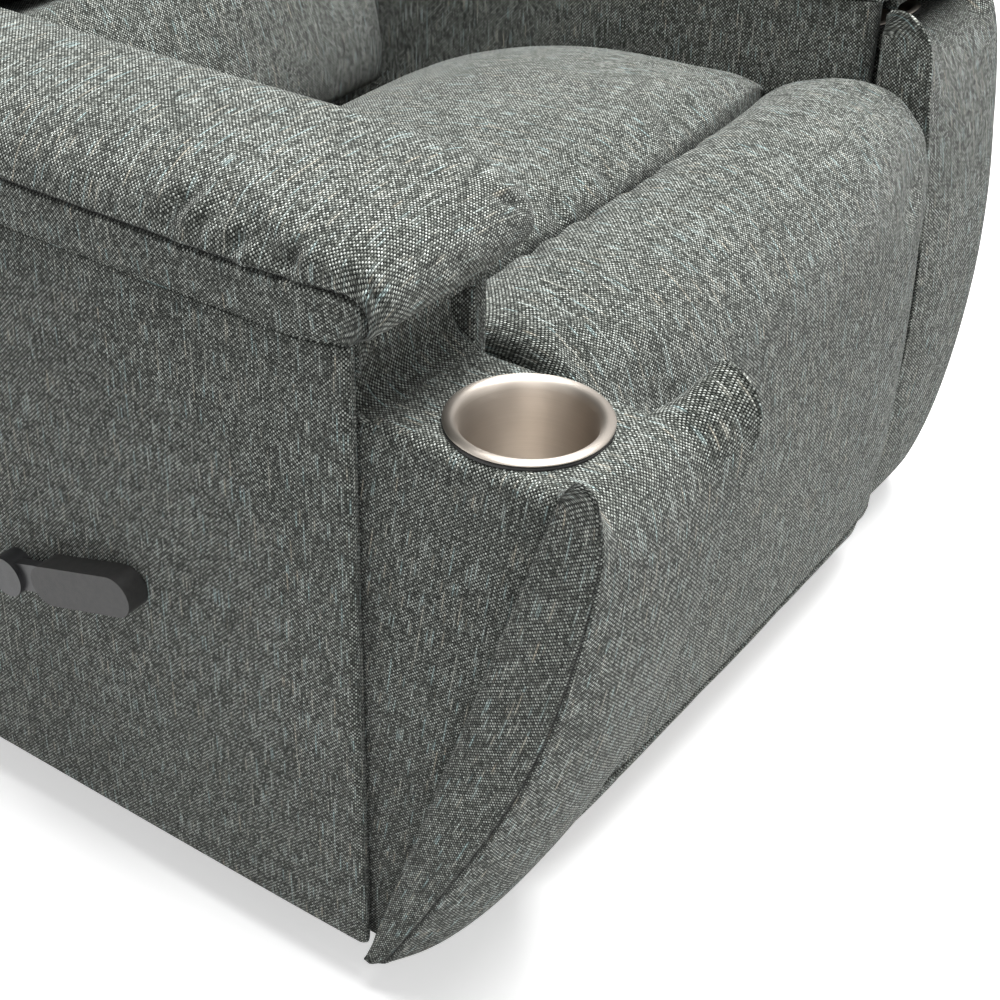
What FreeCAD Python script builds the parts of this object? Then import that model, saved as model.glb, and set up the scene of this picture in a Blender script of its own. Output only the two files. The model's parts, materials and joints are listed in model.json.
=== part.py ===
import FreeCAD, Part
import math
import os
from FreeCAD import Vector

# A rocker recliner with a tilting cup bin behind the front pad of each arm.
# +Z is up, the floor is z = 0 and the sitter faces -Y, so the sitter's right is -X.
# Sizes are in millimetres. Parts are drawn for the sitter's left (+X) and mirrored.

os.makedirs("parts", exist_ok=True)

# Whole chair
arm_front_y = -335.0
floor_clearance = 48.0
seat_well_width = 572.0
arm_behind_seat = 186.0

# Arm box
inner_panel_t = 33.0
outer_panel_t = 13.0
inner_panel_setback = 7.0
rail_t = 10.0
opening_rise = 47.0
front_rail_depth = 15.5
rear_panel_t = 18.0
top_board_setback = 110.0
sill_height = 36.0
sill_depth = 18.0
apron_height = 127.0
apron_t = 18.0
apron_inset = 10.0

# Arm pillow
pillow_nose = 42.0
pillow_outer_overhang = 15.0
pillow_inner_overhang = 12.0
pillow_seam = 36.0
pillow_crown = 84.0
pillow_rear_gap = 45.0

# Cup bin
bin_width = 118.0
bin_side_gap = 2.0
bin_open_angle = 17.6
bin_hinge_rise = 5.0
bin_wall_t = 10.0
shelf_height = 510.0
shelf_t = 12.0
upstand_t = 12.0
cup_from_board = 66.0
cup_top_radius = 44.0
cup_bottom_radius = 38.0
cup_depth = 64.0
cup_wall = 1.5
flange_radius = 54.0
flange_t = 3.5
gasket_t = 4.5

# Padded front of the bin
front_board_t = 12.0
pad_above_shelf = 18.6
pad_below_hinge = 20.0
pad_belly = 47.0
pad_crown = 15.0
pad_outer_inset = 3.0
pad_inner_inset = 1.0

# Seat and chaise pads
seat_gap = 3.0
seat_seam_y = 78.0
seat_depth = 474.0
seat_frame_bottom = 290.0
seat_frame_height = 55.0
seat_rail_width = 25.0
seat_rail_setback = 10.0
seat_spring_gap = 7.0
seat_crown = 508.0
chaise_crown = 519.0
chaise_lift = 48.0
chaise_edge_drop = 24.0
footrest_bottom = 48.0
footrest_board_t = 14.0

# Footrest linkage
footrest_pivot_y = -10.0
footrest_pivot_z = 440.0
nose_radius = 78.0
drive_y = 330.0
drive_z = 262.0
crank_offset_y = 6.0
crank_length = 105.0
steel_t = 4.0
steel_gap = 1.0
drive_tube_radius = 10.0
pivot_pin_radius = 6.0
plate_ear_radius = 14.0
link_half_width = 9.0
link_pin_radius = 4.0
linkage_room = 38.0
handle_length = 128.0
handle_gap = 8.0

# Backrest
back_pivot_behind_seat = 11.0
back_pivot_z = 305.0
back_lean = 16.3
back_height = 770.0
back_front = 23.0
back_cushion_depth = 128.0
back_frame_depth = 38.0
back_shell_t = 25.0
back_tail = 60.0
back_post_width = 40.0
back_side_gap = 22.0
back_edge_drop = 20.0
pivot_block_half = 18.0
back_pin_radius = 8.0

# Rocker base
rocker_radius = 420.0
rocker_reach = 200.0
rocker_center_y = 335.0
rocker_cam_x = 190.0
rocker_cam_t = 30.0
rocker_gap = 0.3
base_rail_top = 75.0
base_foot_height = 20.0
cam_top = 150.0
stretcher_height = 55.0
stretcher_setback = 115.0
front_stretcher_depth = 40.0
rear_stretcher_depth = 30.0
base_rail_margin = 5.0
foot_radius = 18.0
foot_inset = 30.0
coil_radius = 16.0
coil_wire_radius = 2.5
coil_spread = 110.0
bolt_radius = 4.0

# Derived places
front = arm_front_y
inner_face = seat_well_width / 2
panel_face = inner_face + inner_panel_t
bin_in = panel_face + bin_side_gap
bin_out = bin_in + bin_width
bin_mid = (bin_in + bin_out) / 2
outer_in = bin_out + bin_side_gap
outer_face = outer_in + outer_panel_t
arm_height = shelf_height + opening_rise + rail_t
arm_rear = front + seat_depth + arm_behind_seat
seat_half = inner_face - seat_gap
seat_frame_top = seat_frame_bottom + seat_frame_height
linkage_x = inner_face - linkage_room
back_half = inner_face - back_side_gap
hinge_y = front - 2.5
hinge_z = floor_clearance + bin_hinge_rise
board_back = front - 5.0
footrest_pivot = Vector(0, front + footrest_pivot_y, footrest_pivot_z)
drive_axis = Vector(0, front + drive_y, drive_z)
crank_arm = Vector(0, crank_offset_y, -crank_length)
back_pivot = Vector(0, front + seat_depth + back_pivot_behind_seat, back_pivot_z)
x_axis = Vector(1, 0, 0)


def box(x, y, z):
    return Part.makeBox(x[1] - x[0], y[1] - y[0], z[1] - z[0], Vector(x[0], y[0], z[0]))


def rod(x, y, z, radius):
    return Part.makeCylinder(radius, x[1] - x[0], Vector(x[0], y, z), x_axis)


def slab(x, points):
    corners = [Vector(x[0], y, z) for y, z in points]
    face = Part.Face(Part.makePolygon(corners + corners[:1]))
    return face.extrude(Vector(x[1] - x[0], 0, 0))


def link_bar(x, a, b, radius):
    along = Vector(0, b.y - a.y, b.z - a.z).normalize()
    side = Vector(0, -along.z, along.y) * radius
    corners = [a + side, b + side, b - side, a - side]
    bar = slab(x, [(p.y, p.z) for p in corners])
    ends = [rod(x, p.y, p.z, radius) for p in (a, b)]
    return bar.fuse(ends).removeSplitter()


def mirrored(shape):
    return shape.mirror(Vector(0, 0, 0), x_axis)


def pair(shape):
    return [shape, mirrored(shape)]


def wire(start, *steps):
    edges = []
    here = start
    for step in steps:
        if len(step) == 1:
            edges.append(Part.makeLine(here, step[0]))
        else:
            edges.append(Part.Arc(here, step[0], step[1]).toShape())
        here = step[-1]
    return Part.Wire(edges)


def save(node, *solids):
    shape = solids[0] if len(solids) == 1 else Part.makeCompound(list(solids))
    shape.exportStep(os.path.join("parts", node + ".step"))


# Rocker base on the floor

def coil(x, y, z, height):
    turns = 5
    rise = height - 2 * coil_wire_radius

    def on_helix(turn):
        a = 2 * math.pi * turn
        level = z + coil_wire_radius + rise * turn / turns
        return Vector(x + coil_radius * math.cos(a), y + coil_radius * math.sin(a), level)

    arcs = []
    for quarter in range(4 * turns):
        marks = [on_helix((quarter + part) / 4) for part in (0, 0.5, 1)]
        arcs.append(Part.Arc(*marks).toShape())
    path = Part.Wire(arcs)
    heading = arcs[0].tangentAt(arcs[0].FirstParameter)
    ring = Part.Wire([Part.makeCircle(coil_wire_radius, on_helix(0), heading)])
    return path.makePipeShell([ring], True, False)


cam_x = (rocker_cam_x, rocker_cam_x + rocker_cam_t)
front_cross_y = (front + stretcher_setback, front + stretcher_setback + front_stretcher_depth)
rear_cross_y = (front + seat_depth, front + seat_depth + rear_stretcher_depth)
base_rail_y = (front_cross_y[0] - base_rail_margin, rear_cross_y[1] + foot_inset)
base_z = (base_foot_height, base_rail_top - rocker_gap)
base_rail_x = (cam_x[0] - base_rail_margin, cam_x[1] + base_rail_margin)
crossbar_x = (-base_rail_x[0], base_rail_x[0])

save("base_rails", *pair(box(base_rail_x, base_rail_y, base_z)))
save("base_crossbars", box(crossbar_x, front_cross_y, base_z), box(crossbar_x, rear_cross_y, base_z))

feet = []
foot_x = cam_x[0] + rocker_cam_t / 2
for foot_y in (base_rail_y[0] + foot_inset, base_rail_y[1] - foot_inset):
    feet += pair(Part.makeCylinder(foot_radius, base_foot_height, Vector(foot_x, foot_y, 0)))
save("base_feet", *feet)

coils = []
for cross_y in (front_cross_y, rear_cross_y):
    spring_y = (cross_y[0] + cross_y[1]) / 2
    coils += pair(coil(coil_spread, spring_y, base_z[1], cam_top - base_z[1]))
save("rocker_springs", *coils)

# Rocking frame under the seat

rocker_center = Vector(0, front + rocker_center_y, base_rail_top + rocker_radius)


def cam_point(reach):
    drop = math.sqrt(rocker_radius**2 - reach**2)
    return Vector(cam_x[0], rocker_center.y + reach, rocker_center.z - drop)


cam_front = cam_point(-rocker_reach)
cam_rear = cam_point(rocker_reach)
cam_outline = wire(
    cam_front,
    (cam_point(0), cam_rear),
    (Vector(cam_x[0], cam_rear.y, cam_top),),
    (Vector(cam_x[0], cam_front.y, cam_top),),
    (cam_front,),
)
rocker_cam = Part.Face(cam_outline).extrude(Vector(cam_x[1] - cam_x[0], 0, 0))

stretcher_z = (cam_top, cam_top + stretcher_height)
stretcher_x = (-inner_face, inner_face)
front_stretcher = box(stretcher_x, front_cross_y, stretcher_z)
rear_stretcher = box(stretcher_x, rear_cross_y, stretcher_z)
cam_mid = (cam_x[0] + cam_x[1]) / 2
bolt_holes = []
bolts = []
bolt_depth = (cam_top - cam_front.z) * 0.8
for bolt_y in (front_cross_y[1] - 3 * bolt_radius, sum(rear_cross_y) / 2):
    place = Vector(cam_mid, bolt_y, cam_top - bolt_depth)
    shank = stretcher_height + bolt_depth
    bolt_holes += pair(Part.makeCylinder(bolt_radius + 0.2, shank, place))
    head = Part.makeCylinder(2.2 * bolt_radius, bolt_radius, Vector(cam_mid, bolt_y, stretcher_z[1]))
    bolts += pair(Part.makeCylinder(bolt_radius, shank, place).fuse(head).removeSplitter())
drilled = Part.makeCompound(bolt_holes)

save("rocker_cams", *pair(rocker_cam.cut(drilled)))
save("front_stretcher", front_stretcher.cut(drilled))
save("rear_stretcher", rear_stretcher.cut(drilled))
save("cam_bolts", *bolts)

rail_x = (linkage_x - seat_rail_width, linkage_x)
rest_post_x = (cam_x[1] + 5, rail_x[1] - 2)
rest_post_y = (front_cross_y[0] + 5, front_cross_y[1] - 5)
rest_post_z = (stretcher_z[1], seat_frame_bottom - 0.3)
save("seat_rest_posts", *pair(box(rest_post_x, rest_post_y, rest_post_z)))
apron_y = (arm_rear - apron_inset - apron_t, arm_rear - apron_inset)
save("rear_apron", box(stretcher_x, apron_y, (floor_clearance, floor_clearance + apron_height)))

# Pivots of the backrest and bushes of the drive tube, fixed to the arms

back_post_x = (back_half - 10 - back_post_width, back_half - 10)
back_bracket_x = (back_post_x[1], back_post_x[1] + steel_t)
block_x = (back_bracket_x[1] + 0.5, inner_face)
block_y = (back_pivot.y - pivot_block_half, back_pivot.y + pivot_block_half)
block_z = (back_pivot.z - pivot_block_half, back_pivot.z + pivot_block_half)
pivot_block = box(block_x, block_y, block_z)
pivot_block = pivot_block.cut(rod(block_x, back_pivot.y, back_pivot.z, back_pin_radius))
pivot_pin = rod((back_bracket_x[0], block_x[1]), back_pivot.y, back_pivot.z, back_pin_radius)
save("back_pivot_blocks", *pair(pivot_block))
save("back_pivot_pins", *pair(pivot_pin))

bush_radius = drive_tube_radius + 5
bush_x = (inner_face, panel_face)
bush = rod(bush_x, drive_axis.y, drive_axis.z, bush_radius)
bush = bush.cut(rod(bush_x, drive_axis.y, drive_axis.z, drive_tube_radius + 0.1))
save("drive_tube_bushes", *pair(bush))

# Arms

panel_z = (floor_clearance, arm_height)
outer_panel = box((outer_in, outer_face), (front, arm_rear), panel_z)
handle_hole = rod((outer_in - 1, outer_face + 1), drive_axis.y, drive_axis.z, drive_tube_radius + 2)
inner_y = (front + inner_panel_setback, arm_rear)
inner_panel = box((inner_face, panel_face), inner_y, panel_z)
inner_panel = inner_panel.cut(rod(bush_x, drive_axis.y, drive_axis.z, bush_radius))
save("arm_left_outer_panel", outer_panel)
save("arm_right_outer_panel", mirrored(outer_panel.cut(handle_hole)))
save("arm_left_inner_panel", inner_panel)
save("arm_right_inner_panel", mirrored(inner_panel))

arm_x = (panel_face, outer_in)
board_z = (arm_height - rail_t, arm_height)
rear_panel_y = (arm_rear - rear_panel_t, arm_rear)
front_rail = box(arm_x, (front, front + front_rail_depth), board_z)
top_board = box(arm_x, (front + top_board_setback, rear_panel_y[0]), board_z)
rear_panel = box(arm_x, rear_panel_y, panel_z)
sill_z = (hinge_z + 8, hinge_z + 8 + sill_height)
sill = box(arm_x, (front, front + sill_depth), sill_z)
arm_frame = [front_rail, top_board, rear_panel, sill]
save("arm_left_frame", *arm_frame)
save("arm_right_frame", *[mirrored(piece) for piece in arm_frame])


def pillow_section(y, low, seam, top, inset):
    x_in = inner_face - pillow_inner_overhang + inset
    x_out = outer_face + pillow_outer_overhang - inset
    tuck = 7.0
    belly = (low + seam) / 2
    a = Vector(x_in + tuck, y, low)
    b = Vector(x_out - tuck, y, low)
    c = Vector(x_out - tuck, y, seam)
    d = Vector(x_in + tuck, y, seam)
    crown = Vector((x_in + x_out) / 2, y, top)
    return wire(a, (b,), (Vector(x_out, y, belly), c), (crown, d), (Vector(x_in, y, belly), a))


pillow_low = arm_height + 0.3
pillow_mid = pillow_low + pillow_seam
pillow_top = pillow_low + pillow_crown


def pillow_body(y):
    return pillow_section(y, pillow_low, pillow_mid + 6, pillow_top, 0)


nose_end = front + 0.9 * pillow_nose
pillow_end = arm_rear - pillow_rear_gap
body_end = pillow_end - 2 * pillow_nose
pillow_front = Part.makeLoft(
    [
        pillow_section(front - pillow_nose, pillow_low + 18, pillow_mid - 2, pillow_mid + 14, 14),
        pillow_section(front - 0.75 * pillow_nose, pillow_low + 7, pillow_mid + 1, pillow_mid + 27, 5),
        pillow_section(front - 0.25 * pillow_nose, pillow_low, pillow_mid + 4, pillow_top - 11, 1),
        pillow_section(front + 0.3 * pillow_nose, pillow_low, pillow_mid + 6, pillow_top - 2, 0),
        pillow_body(nose_end),
    ],
    True,
)
pillow_middle = Part.makeLoft([pillow_body(nose_end), pillow_body(body_end)], True)
pillow_rear = Part.makeLoft(
    [
        pillow_body(body_end),
        pillow_section(pillow_end - pillow_nose, pillow_low, pillow_mid + 4, pillow_top - 6, 1),
        pillow_section(pillow_end, pillow_low, pillow_mid - 4, pillow_top - 26, 4),
    ],
    True,
)
arm_top_x = (inner_face - 2 * pillow_inner_overhang, outer_face + 2 * pillow_outer_overhang)
below_pillow = box(arm_top_x, (front - 2 * pillow_nose, arm_rear), (pillow_low - pillow_seam, pillow_low))
pillow = pillow_front.fuse([pillow_middle, pillow_rear]).removeSplitter().cut(below_pillow)
save("arm_left_pillow", pillow)
save("arm_right_pillow", mirrored(pillow))

# Hinge of the cup bin along the bottom of the arm front

knuckle_radius = 4.0
hinge_x = (bin_in + 4, bin_out - 4)
third = (hinge_x[1] - hinge_x[0]) / 3
middle_x = (hinge_x[0] + third, hinge_x[1] - third)
outer_knuckles_x = [(hinge_x[0], middle_x[0]), (middle_x[1], hinge_x[1])]
leaf_top = sill_z[1] - 4
fixed_leaf = box(hinge_x, (front - 2, front), (hinge_z, leaf_top))
middle_room_x = (middle_x[0] - 0.5, middle_x[1] + 0.5)
fixed_leaf = fixed_leaf.cut(rod(middle_room_x, hinge_y, hinge_z, knuckle_radius + 0.7))
fixed_leaf = fixed_leaf.fuse([rod(x, hinge_y, hinge_z, knuckle_radius) for x in outer_knuckles_x])
fixed_leaf = fixed_leaf.fuse(rod(hinge_x, hinge_y, hinge_z, 2)).removeSplitter()
moving_leaf = box(hinge_x, (board_back, board_back + 2), (hinge_z + 1, leaf_top))
for x in outer_knuckles_x:
    clearance_x = (x[0] - 0.5, x[1] + 0.5)
    moving_leaf = moving_leaf.cut(rod(clearance_x, hinge_y, hinge_z, knuckle_radius + 0.7))
knuckle_x = (middle_x[0] + 0.5, middle_x[1] - 0.5)
moving_leaf = moving_leaf.fuse(rod(knuckle_x, hinge_y, hinge_z, knuckle_radius))
moving_leaf = moving_leaf.cut(rod(knuckle_x, hinge_y, hinge_z, 2.1)).removeSplitter()
save("bin_left_hinge_leaf", fixed_leaf)
save("bin_right_hinge_leaf", mirrored(fixed_leaf))

# Cup bin. The board, pad and leaf are drawn shut, the shelf and cup are drawn open.

hinge_point = Vector(0, hinge_y, hinge_z)


def opened(shape):
    turned = shape.copy()
    turned.rotate(hinge_point, x_axis, bin_open_angle)
    return turned


def shut(shape):
    turned = shape.copy()
    turned.rotate(hinge_point, x_axis, -bin_open_angle)
    return turned


open_radians = math.radians(bin_open_angle)
shelf_along_board = (shelf_height - hinge_z) / math.cos(open_radians)
board_at_shelf = hinge_y - (hinge_y - board_back) / math.cos(open_radians)
board_at_shelf -= (shelf_height - hinge_z) * math.tan(open_radians)
pad_length = pad_below_hinge + shelf_along_board + pad_above_shelf
pad_x = (inner_face + pad_inner_inset, outer_face - pad_outer_inset)
board_top = hinge_z + shelf_along_board
front_board = opened(box(pad_x, (board_back - front_board_t, board_back), (hinge_z + 6, board_top)))
ahead_z = (hinge_z - 100, board_top + 200)
ahead = opened(box((bin_in - 5, bin_out + 5), (board_back - 300, board_back), ahead_z))

shelf_z = (shelf_height - shelf_t, shelf_height)
upstand_y = (front + front_rail_depth + 0.5, front + front_rail_depth + 0.5 + upstand_t)
upstand = box((bin_in, bin_out), upstand_y, (shelf_z[0], arm_height - 4))
shelf = box((bin_in, bin_out), (front - 250, upstand_y[0]), shelf_z).cut(ahead)
wall_low = hinge_z + sill_height + 20
wall = slab(
    (bin_in, bin_in + bin_wall_t),
    [
        (front - 250, shelf_z[0]),
        (front - 250, wall_low),
        (upstand_y[1], wall_low + 4),
        (upstand_y[1], shelf_z[0]),
    ],
).cut(ahead)
far_wall = wall.copy()
far_wall.translate(Vector(bin_width - bin_wall_t, 0, 0))

cup_y = board_at_shelf + cup_from_board
flange_z = shelf_height + gasket_t
cup_hole_radius = cup_top_radius + cup_wall + 0.8
shelf = shelf.cut(Part.makeCylinder(cup_hole_radius, 40, Vector(bin_mid, cup_y, shelf_z[0] - 10)))
gasket = Part.makeCylinder(flange_radius - 1.5, gasket_t, Vector(bin_mid, cup_y, shelf_height))
gasket = gasket.cut(Part.makeCylinder(cup_hole_radius, gasket_t, Vector(bin_mid, cup_y, shelf_height)))


def cup_solid(radius_top, radius_bottom, z_top, z_bottom):
    return Part.makeCone(radius_bottom, radius_top, z_top - z_bottom, Vector(bin_mid, cup_y, z_bottom))


lip_z = flange_z + flange_t
cup_floor = lip_z - cup_depth
cup = cup_solid(cup_top_radius + cup_wall, cup_bottom_radius + cup_wall, lip_z, cup_floor - cup_wall)
cup = cup.fuse(Part.makeCylinder(flange_radius, flange_t, Vector(bin_mid, cup_y, flange_z)))
cup = cup.cut(cup_solid(cup_top_radius, cup_bottom_radius, lip_z, cup_floor)).removeSplitter()


def pad_section(rise, seam):
    z = hinge_z - pad_below_hinge + rise
    y_back = board_back - front_board_t - 0.3
    y_seam = board_back - front_board_t - seam
    mid_x = (pad_x[0] + pad_x[1]) / 2
    a = Vector(pad_x[0], y_back, z)
    b = Vector(pad_x[1], y_back, z)
    c = Vector(pad_x[1], y_seam, z)
    d = Vector(pad_x[0], y_seam, z)
    return wire(a, (b,), (c,), (Vector(mid_x, y_seam - pad_crown, z), d), (a,))


bin_pad = Part.makeLoft(
    [
        pad_section(0, 0.26 * pad_belly),
        pad_section(0.14 * pad_length, 0.60 * pad_belly),
        pad_section(0.42 * pad_length, 0.96 * pad_belly),
        pad_section(0.66 * pad_length, pad_belly),
        pad_section(0.88 * pad_length, 0.76 * pad_belly),
        pad_section(pad_length, 0.40 * pad_belly),
    ],
    True,
)

bin_pieces = {
    "carcass": [front_board, wall, far_wall, upstand],
    "shelf": [shelf],
    "cup": [cup],
    "cup_gasket": [gasket],
    "pad": [opened(bin_pad)],
    "hinge_flap": [opened(moving_leaf)],
}
for piece, solids in bin_pieces.items():
    save("bin_left_" + piece, *[shut(solid) for solid in solids])
    save("bin_right_" + piece, *[mirrored(solid) for solid in solids])

# Seat frame, springs and pads

rail_y = (front + seat_rail_setback, front + seat_depth - seat_rail_width)
rail_z = (seat_frame_bottom, seat_frame_top)
cross_x = (-rail_x[0], rail_x[0])
pad_bottom = seat_frame_top + seat_spring_gap
chaise_bottom = pad_bottom + chaise_lift
save("seat_side_rails", *pair(box(rail_x, rail_y, rail_z)))
front_rail_z = (seat_frame_bottom, chaise_bottom - 0.3)
seat_front_rail = box(cross_x, (rail_y[0], rail_y[0] + seat_rail_width), front_rail_z)
seat_rear_rail = box(cross_x, (rail_y[1] - seat_rail_width, rail_y[1]), rail_z)
save("seat_cross_rails", seat_front_rail, seat_rear_rail)


def sinuous_spring(x):
    wire_radius = 2.0
    z = seat_frame_top + wire_radius + 0.3
    y_start = rail_y[0] + seat_rail_width + 7
    rows = 11
    pitch = (rail_y[1] - 8 - y_start) / (rows - 1)
    reach = 0.08 * rail_x[0]
    start = Vector(x - reach, y_start, z)
    steps = []
    side = 1
    for row in range(rows):
        y = y_start + row * pitch
        steps.append((Vector(x + side * reach, y, z),))
        if row < rows - 1:
            bend = Vector(x + side * (reach + pitch / 2), y + pitch / 2, z)
            steps.append((bend, Vector(x + side * reach, y + pitch, z)))
        side = -side
    ring = Part.Wire([Part.makeCircle(wire_radius, start, x_axis)])
    return wire(start, *steps).makePipeShell([ring], True, False)


spring_step = 0.36 * rail_x[0]
save("seat_springs", *[sinuous_spring(place * spring_step) for place in (-2, -1, 0, 1, 2)])


def layer(index):
    x = linkage_x + index * (steel_t + steel_gap)
    return (x, x + steel_t)


pin_y = footrest_pivot.y
pin_z = footrest_pivot.z
plate_x = layer(0)
boss_radius = 2 * drive_tube_radius
plate = slab(
    plate_x,
    [
        (pin_y + 2, seat_frame_bottom + 8),
        (pin_y + 2, pin_z),
        (pin_y + plate_ear_radius, pin_z),
        (pin_y + plate_ear_radius, seat_frame_top - 4),
        (drive_axis.y + 2 * boss_radius, seat_frame_top - 4),
        (drive_axis.y + boss_radius, drive_axis.z),
        (drive_axis.y - boss_radius, drive_axis.z),
        (drive_axis.y - 2 * boss_radius, seat_frame_bottom + 8),
    ],
)
plate = plate.fuse(rod(plate_x, pin_y, pin_z, plate_ear_radius))
plate = plate.fuse(rod(plate_x, drive_axis.y, drive_axis.z, boss_radius))
plate = plate.cut(rod(plate_x, pin_y, pin_z, pivot_pin_radius))
plate = plate.cut(rod(plate_x, drive_axis.y, drive_axis.z, drive_tube_radius + 0.1)).removeSplitter()
save("seat_plates", *pair(plate))

bracket_x = layer(1)
pin_x = (plate_x[0], bracket_x[1])
save("footrest_pivot_pins", *pair(rod(pin_x, pin_y, pin_z, pivot_pin_radius)))


def seat_section(y, edge, crown):
    draw = 4.0
    low = pad_bottom
    middle = (low + edge) / 2
    a = Vector(-seat_half, y, low)
    b = Vector(seat_half, y, low)
    c = Vector(seat_half, y, edge)
    d = Vector(-seat_half, y, edge)
    right_side = (Vector(seat_half - draw, y, middle), c)
    left_side = (Vector(draw - seat_half, y, middle), a)
    return wire(a, (b,), right_side, (Vector(0, y, crown), d), left_side)


seat_cushion = Part.makeLoft(
    [
        seat_section(front + seat_seam_y + 0.4, seat_crown - 42, seat_crown - 16),
        seat_section(front + seat_seam_y + 45, seat_crown - 32, seat_crown - 1),
        seat_section(front + seat_seam_y + 130, seat_crown - 38, seat_crown),
        seat_section(front + 0.76 * seat_depth, seat_crown - 72, seat_crown - 36),
        seat_section(front + seat_depth, seat_crown - 120, seat_crown - 98),
    ],
    True,
)
save("seat_cushion", seat_cushion)

spread = [(-1, 1), (-0.82, 0.25), (-0.42, 0.04), (0, 0), (0.42, 0.04), (0.82, 0.25), (1, 1)]


def chaise_top_section(x, drop):
    y_front = pin_y + plate_ear_radius + 2
    y_rear = front + seat_seam_y - 0.4
    a = Vector(x, y_front, chaise_bottom)
    b = Vector(x, y_rear, chaise_bottom)
    c = Vector(x, y_rear, chaise_crown - 26 - drop)
    d = Vector(x, y_front, chaise_crown - 1 - drop)
    crown = Vector(x, (2 * y_front + y_rear) / 3, chaise_crown - drop)
    return wire(a, (b,), (c,), (crown, d), (a,))


def round_nose(x, radius, angle):
    a = math.radians(angle)
    return Vector(x, pin_y - radius * math.cos(a), pin_z + radius * math.sin(a))


def chaise_nose_section(x, drop):
    outer = nose_radius - drop
    inner = plate_ear_radius + 6
    rear = pin_y + plate_ear_radius + 1.6
    top = Vector(x, rear, pin_z + outer)
    top_in = Vector(x, rear, pin_z + inner)
    return wire(
        round_nose(x, inner, 4),
        (round_nose(x, outer, 2),),
        (round_nose(x, outer, 46), round_nose(x, outer, 90)),
        (top,),
        (top_in,),
        (round_nose(x, inner, 90),),
        (round_nose(x, inner, 47), round_nose(x, inner, 4)),
    )


board_front = pin_y - plate_ear_radius - 2 - footrest_board_t
pad_low = footrest_bottom


def footrest_pad_section(x, drop):
    back = board_front - 0.3
    high = pin_z - 2
    face = pin_y - nose_radius + drop
    a = Vector(x, back, high)
    b = Vector(x, back, pad_low)
    c = Vector(x, face + 34, pad_low)
    d = Vector(x, face, high)
    belly = Vector(x, face + 4, 0.6 * high + 0.4 * pad_low)
    return wire(a, (b,), (c,), (belly, d), (a,))


def across_seat(section):
    sections = [section(part * seat_half, drop * chaise_edge_drop) for part, drop in spread]
    return Part.makeLoft(sections, True)


save("chaise_top", across_seat(chaise_top_section))
save("chaise_nose", across_seat(chaise_nose_section))
save("footrest_pad", across_seat(footrest_pad_section))

# Footrest board and the drive linkage

board_rear = board_front + footrest_board_t
board_x = (-linkage_x - plate_ear_radius, linkage_x + plate_ear_radius)
board_rise = (pad_low + 12, pin_z - plate_ear_radius - 11)
footrest_board = box(board_x, (board_front, board_rear), board_rise)
save("footrest_board", footrest_board)

link_pivot = footrest_pivot + crank_arm
crank_pivot = drive_axis + crank_arm
link_x = layer(2)
crank_x = layer(3)
bracket = slab(
    bracket_x,
    [
        (board_rear, link_pivot.z - plate_ear_radius),
        (board_rear, board_rise[1]),
        (pin_y - 8, pin_z),
        (pin_y + plate_ear_radius, pin_z),
        (pin_y + plate_ear_radius, link_pivot.z - plate_ear_radius),
    ],
)
bracket = bracket.fuse(rod(bracket_x, pin_y, pin_z, plate_ear_radius))
bracket = bracket.cut(rod(bracket_x, pin_y, pin_z, pivot_pin_radius + 0.1))
link_pin = rod((bracket_x[0], link_x[1]), link_pivot.y, link_pivot.z, link_pin_radius)
bracket = bracket.fuse(link_pin).removeSplitter()
save("footrest_brackets", *pair(bracket))

push_link = link_bar(link_x, link_pivot, crank_pivot, link_half_width)
push_link = push_link.cut(rod(link_x, link_pivot.y, link_pivot.z, link_pin_radius + 0.4))
push_link = push_link.cut(rod(link_x, crank_pivot.y, crank_pivot.z, link_pin_radius + 0.1))
save("push_link_left", push_link)
save("push_link_right", mirrored(push_link))

crank = link_bar(crank_x, drive_axis, crank_pivot, drive_tube_radius + 3)
crank = crank.cut(rod(crank_x, drive_axis.y, drive_axis.z, drive_tube_radius))
crank_pin = rod((link_x[0], crank_x[1]), crank_pivot.y, crank_pivot.z, link_pin_radius)
crank = crank.fuse(crank_pin).removeSplitter()
save("drive_cranks", *pair(crank))

handle_x = outer_face + handle_gap
drive_tube = rod((-handle_x - 12, panel_face), drive_axis.y, drive_axis.z, drive_tube_radius)
save("drive_tube", drive_tube)

handle_tip = drive_axis + Vector(0, -handle_length * math.cos(0.3), handle_length * math.sin(0.3))
lever = link_bar((handle_x, handle_x + 8), drive_axis, handle_tip, 12)
lever = lever.fuse(rod((handle_x - 6, handle_x + 12), drive_axis.y, drive_axis.z, 17))
lever = lever.cut(rod((handle_x - 8, handle_x + 14), drive_axis.y, drive_axis.z, drive_tube_radius))
save("handle_lever", mirrored(lever.removeSplitter()))

grip_root = drive_axis + (handle_tip - drive_axis) * 0.42
grip = link_bar((handle_x - 5, handle_x + 15), grip_root, handle_tip, 17)
grip = grip.cut(link_bar((handle_x, handle_x + 8), drive_axis, handle_tip, 12))
save("handle_grip", mirrored(grip))

# Backrest, drawn upright from its pivot and then leant back


def leant(shape):
    turned = shape.copy()
    turned.rotate(back_pivot, x_axis, -back_lean)
    return turned


def back_box(x, depth, rise):
    y = (back_pivot.y - depth[1], back_pivot.y - depth[0])
    return leant(box(x, y, (back_pivot.z + rise[0], back_pivot.z + rise[1])))


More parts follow.
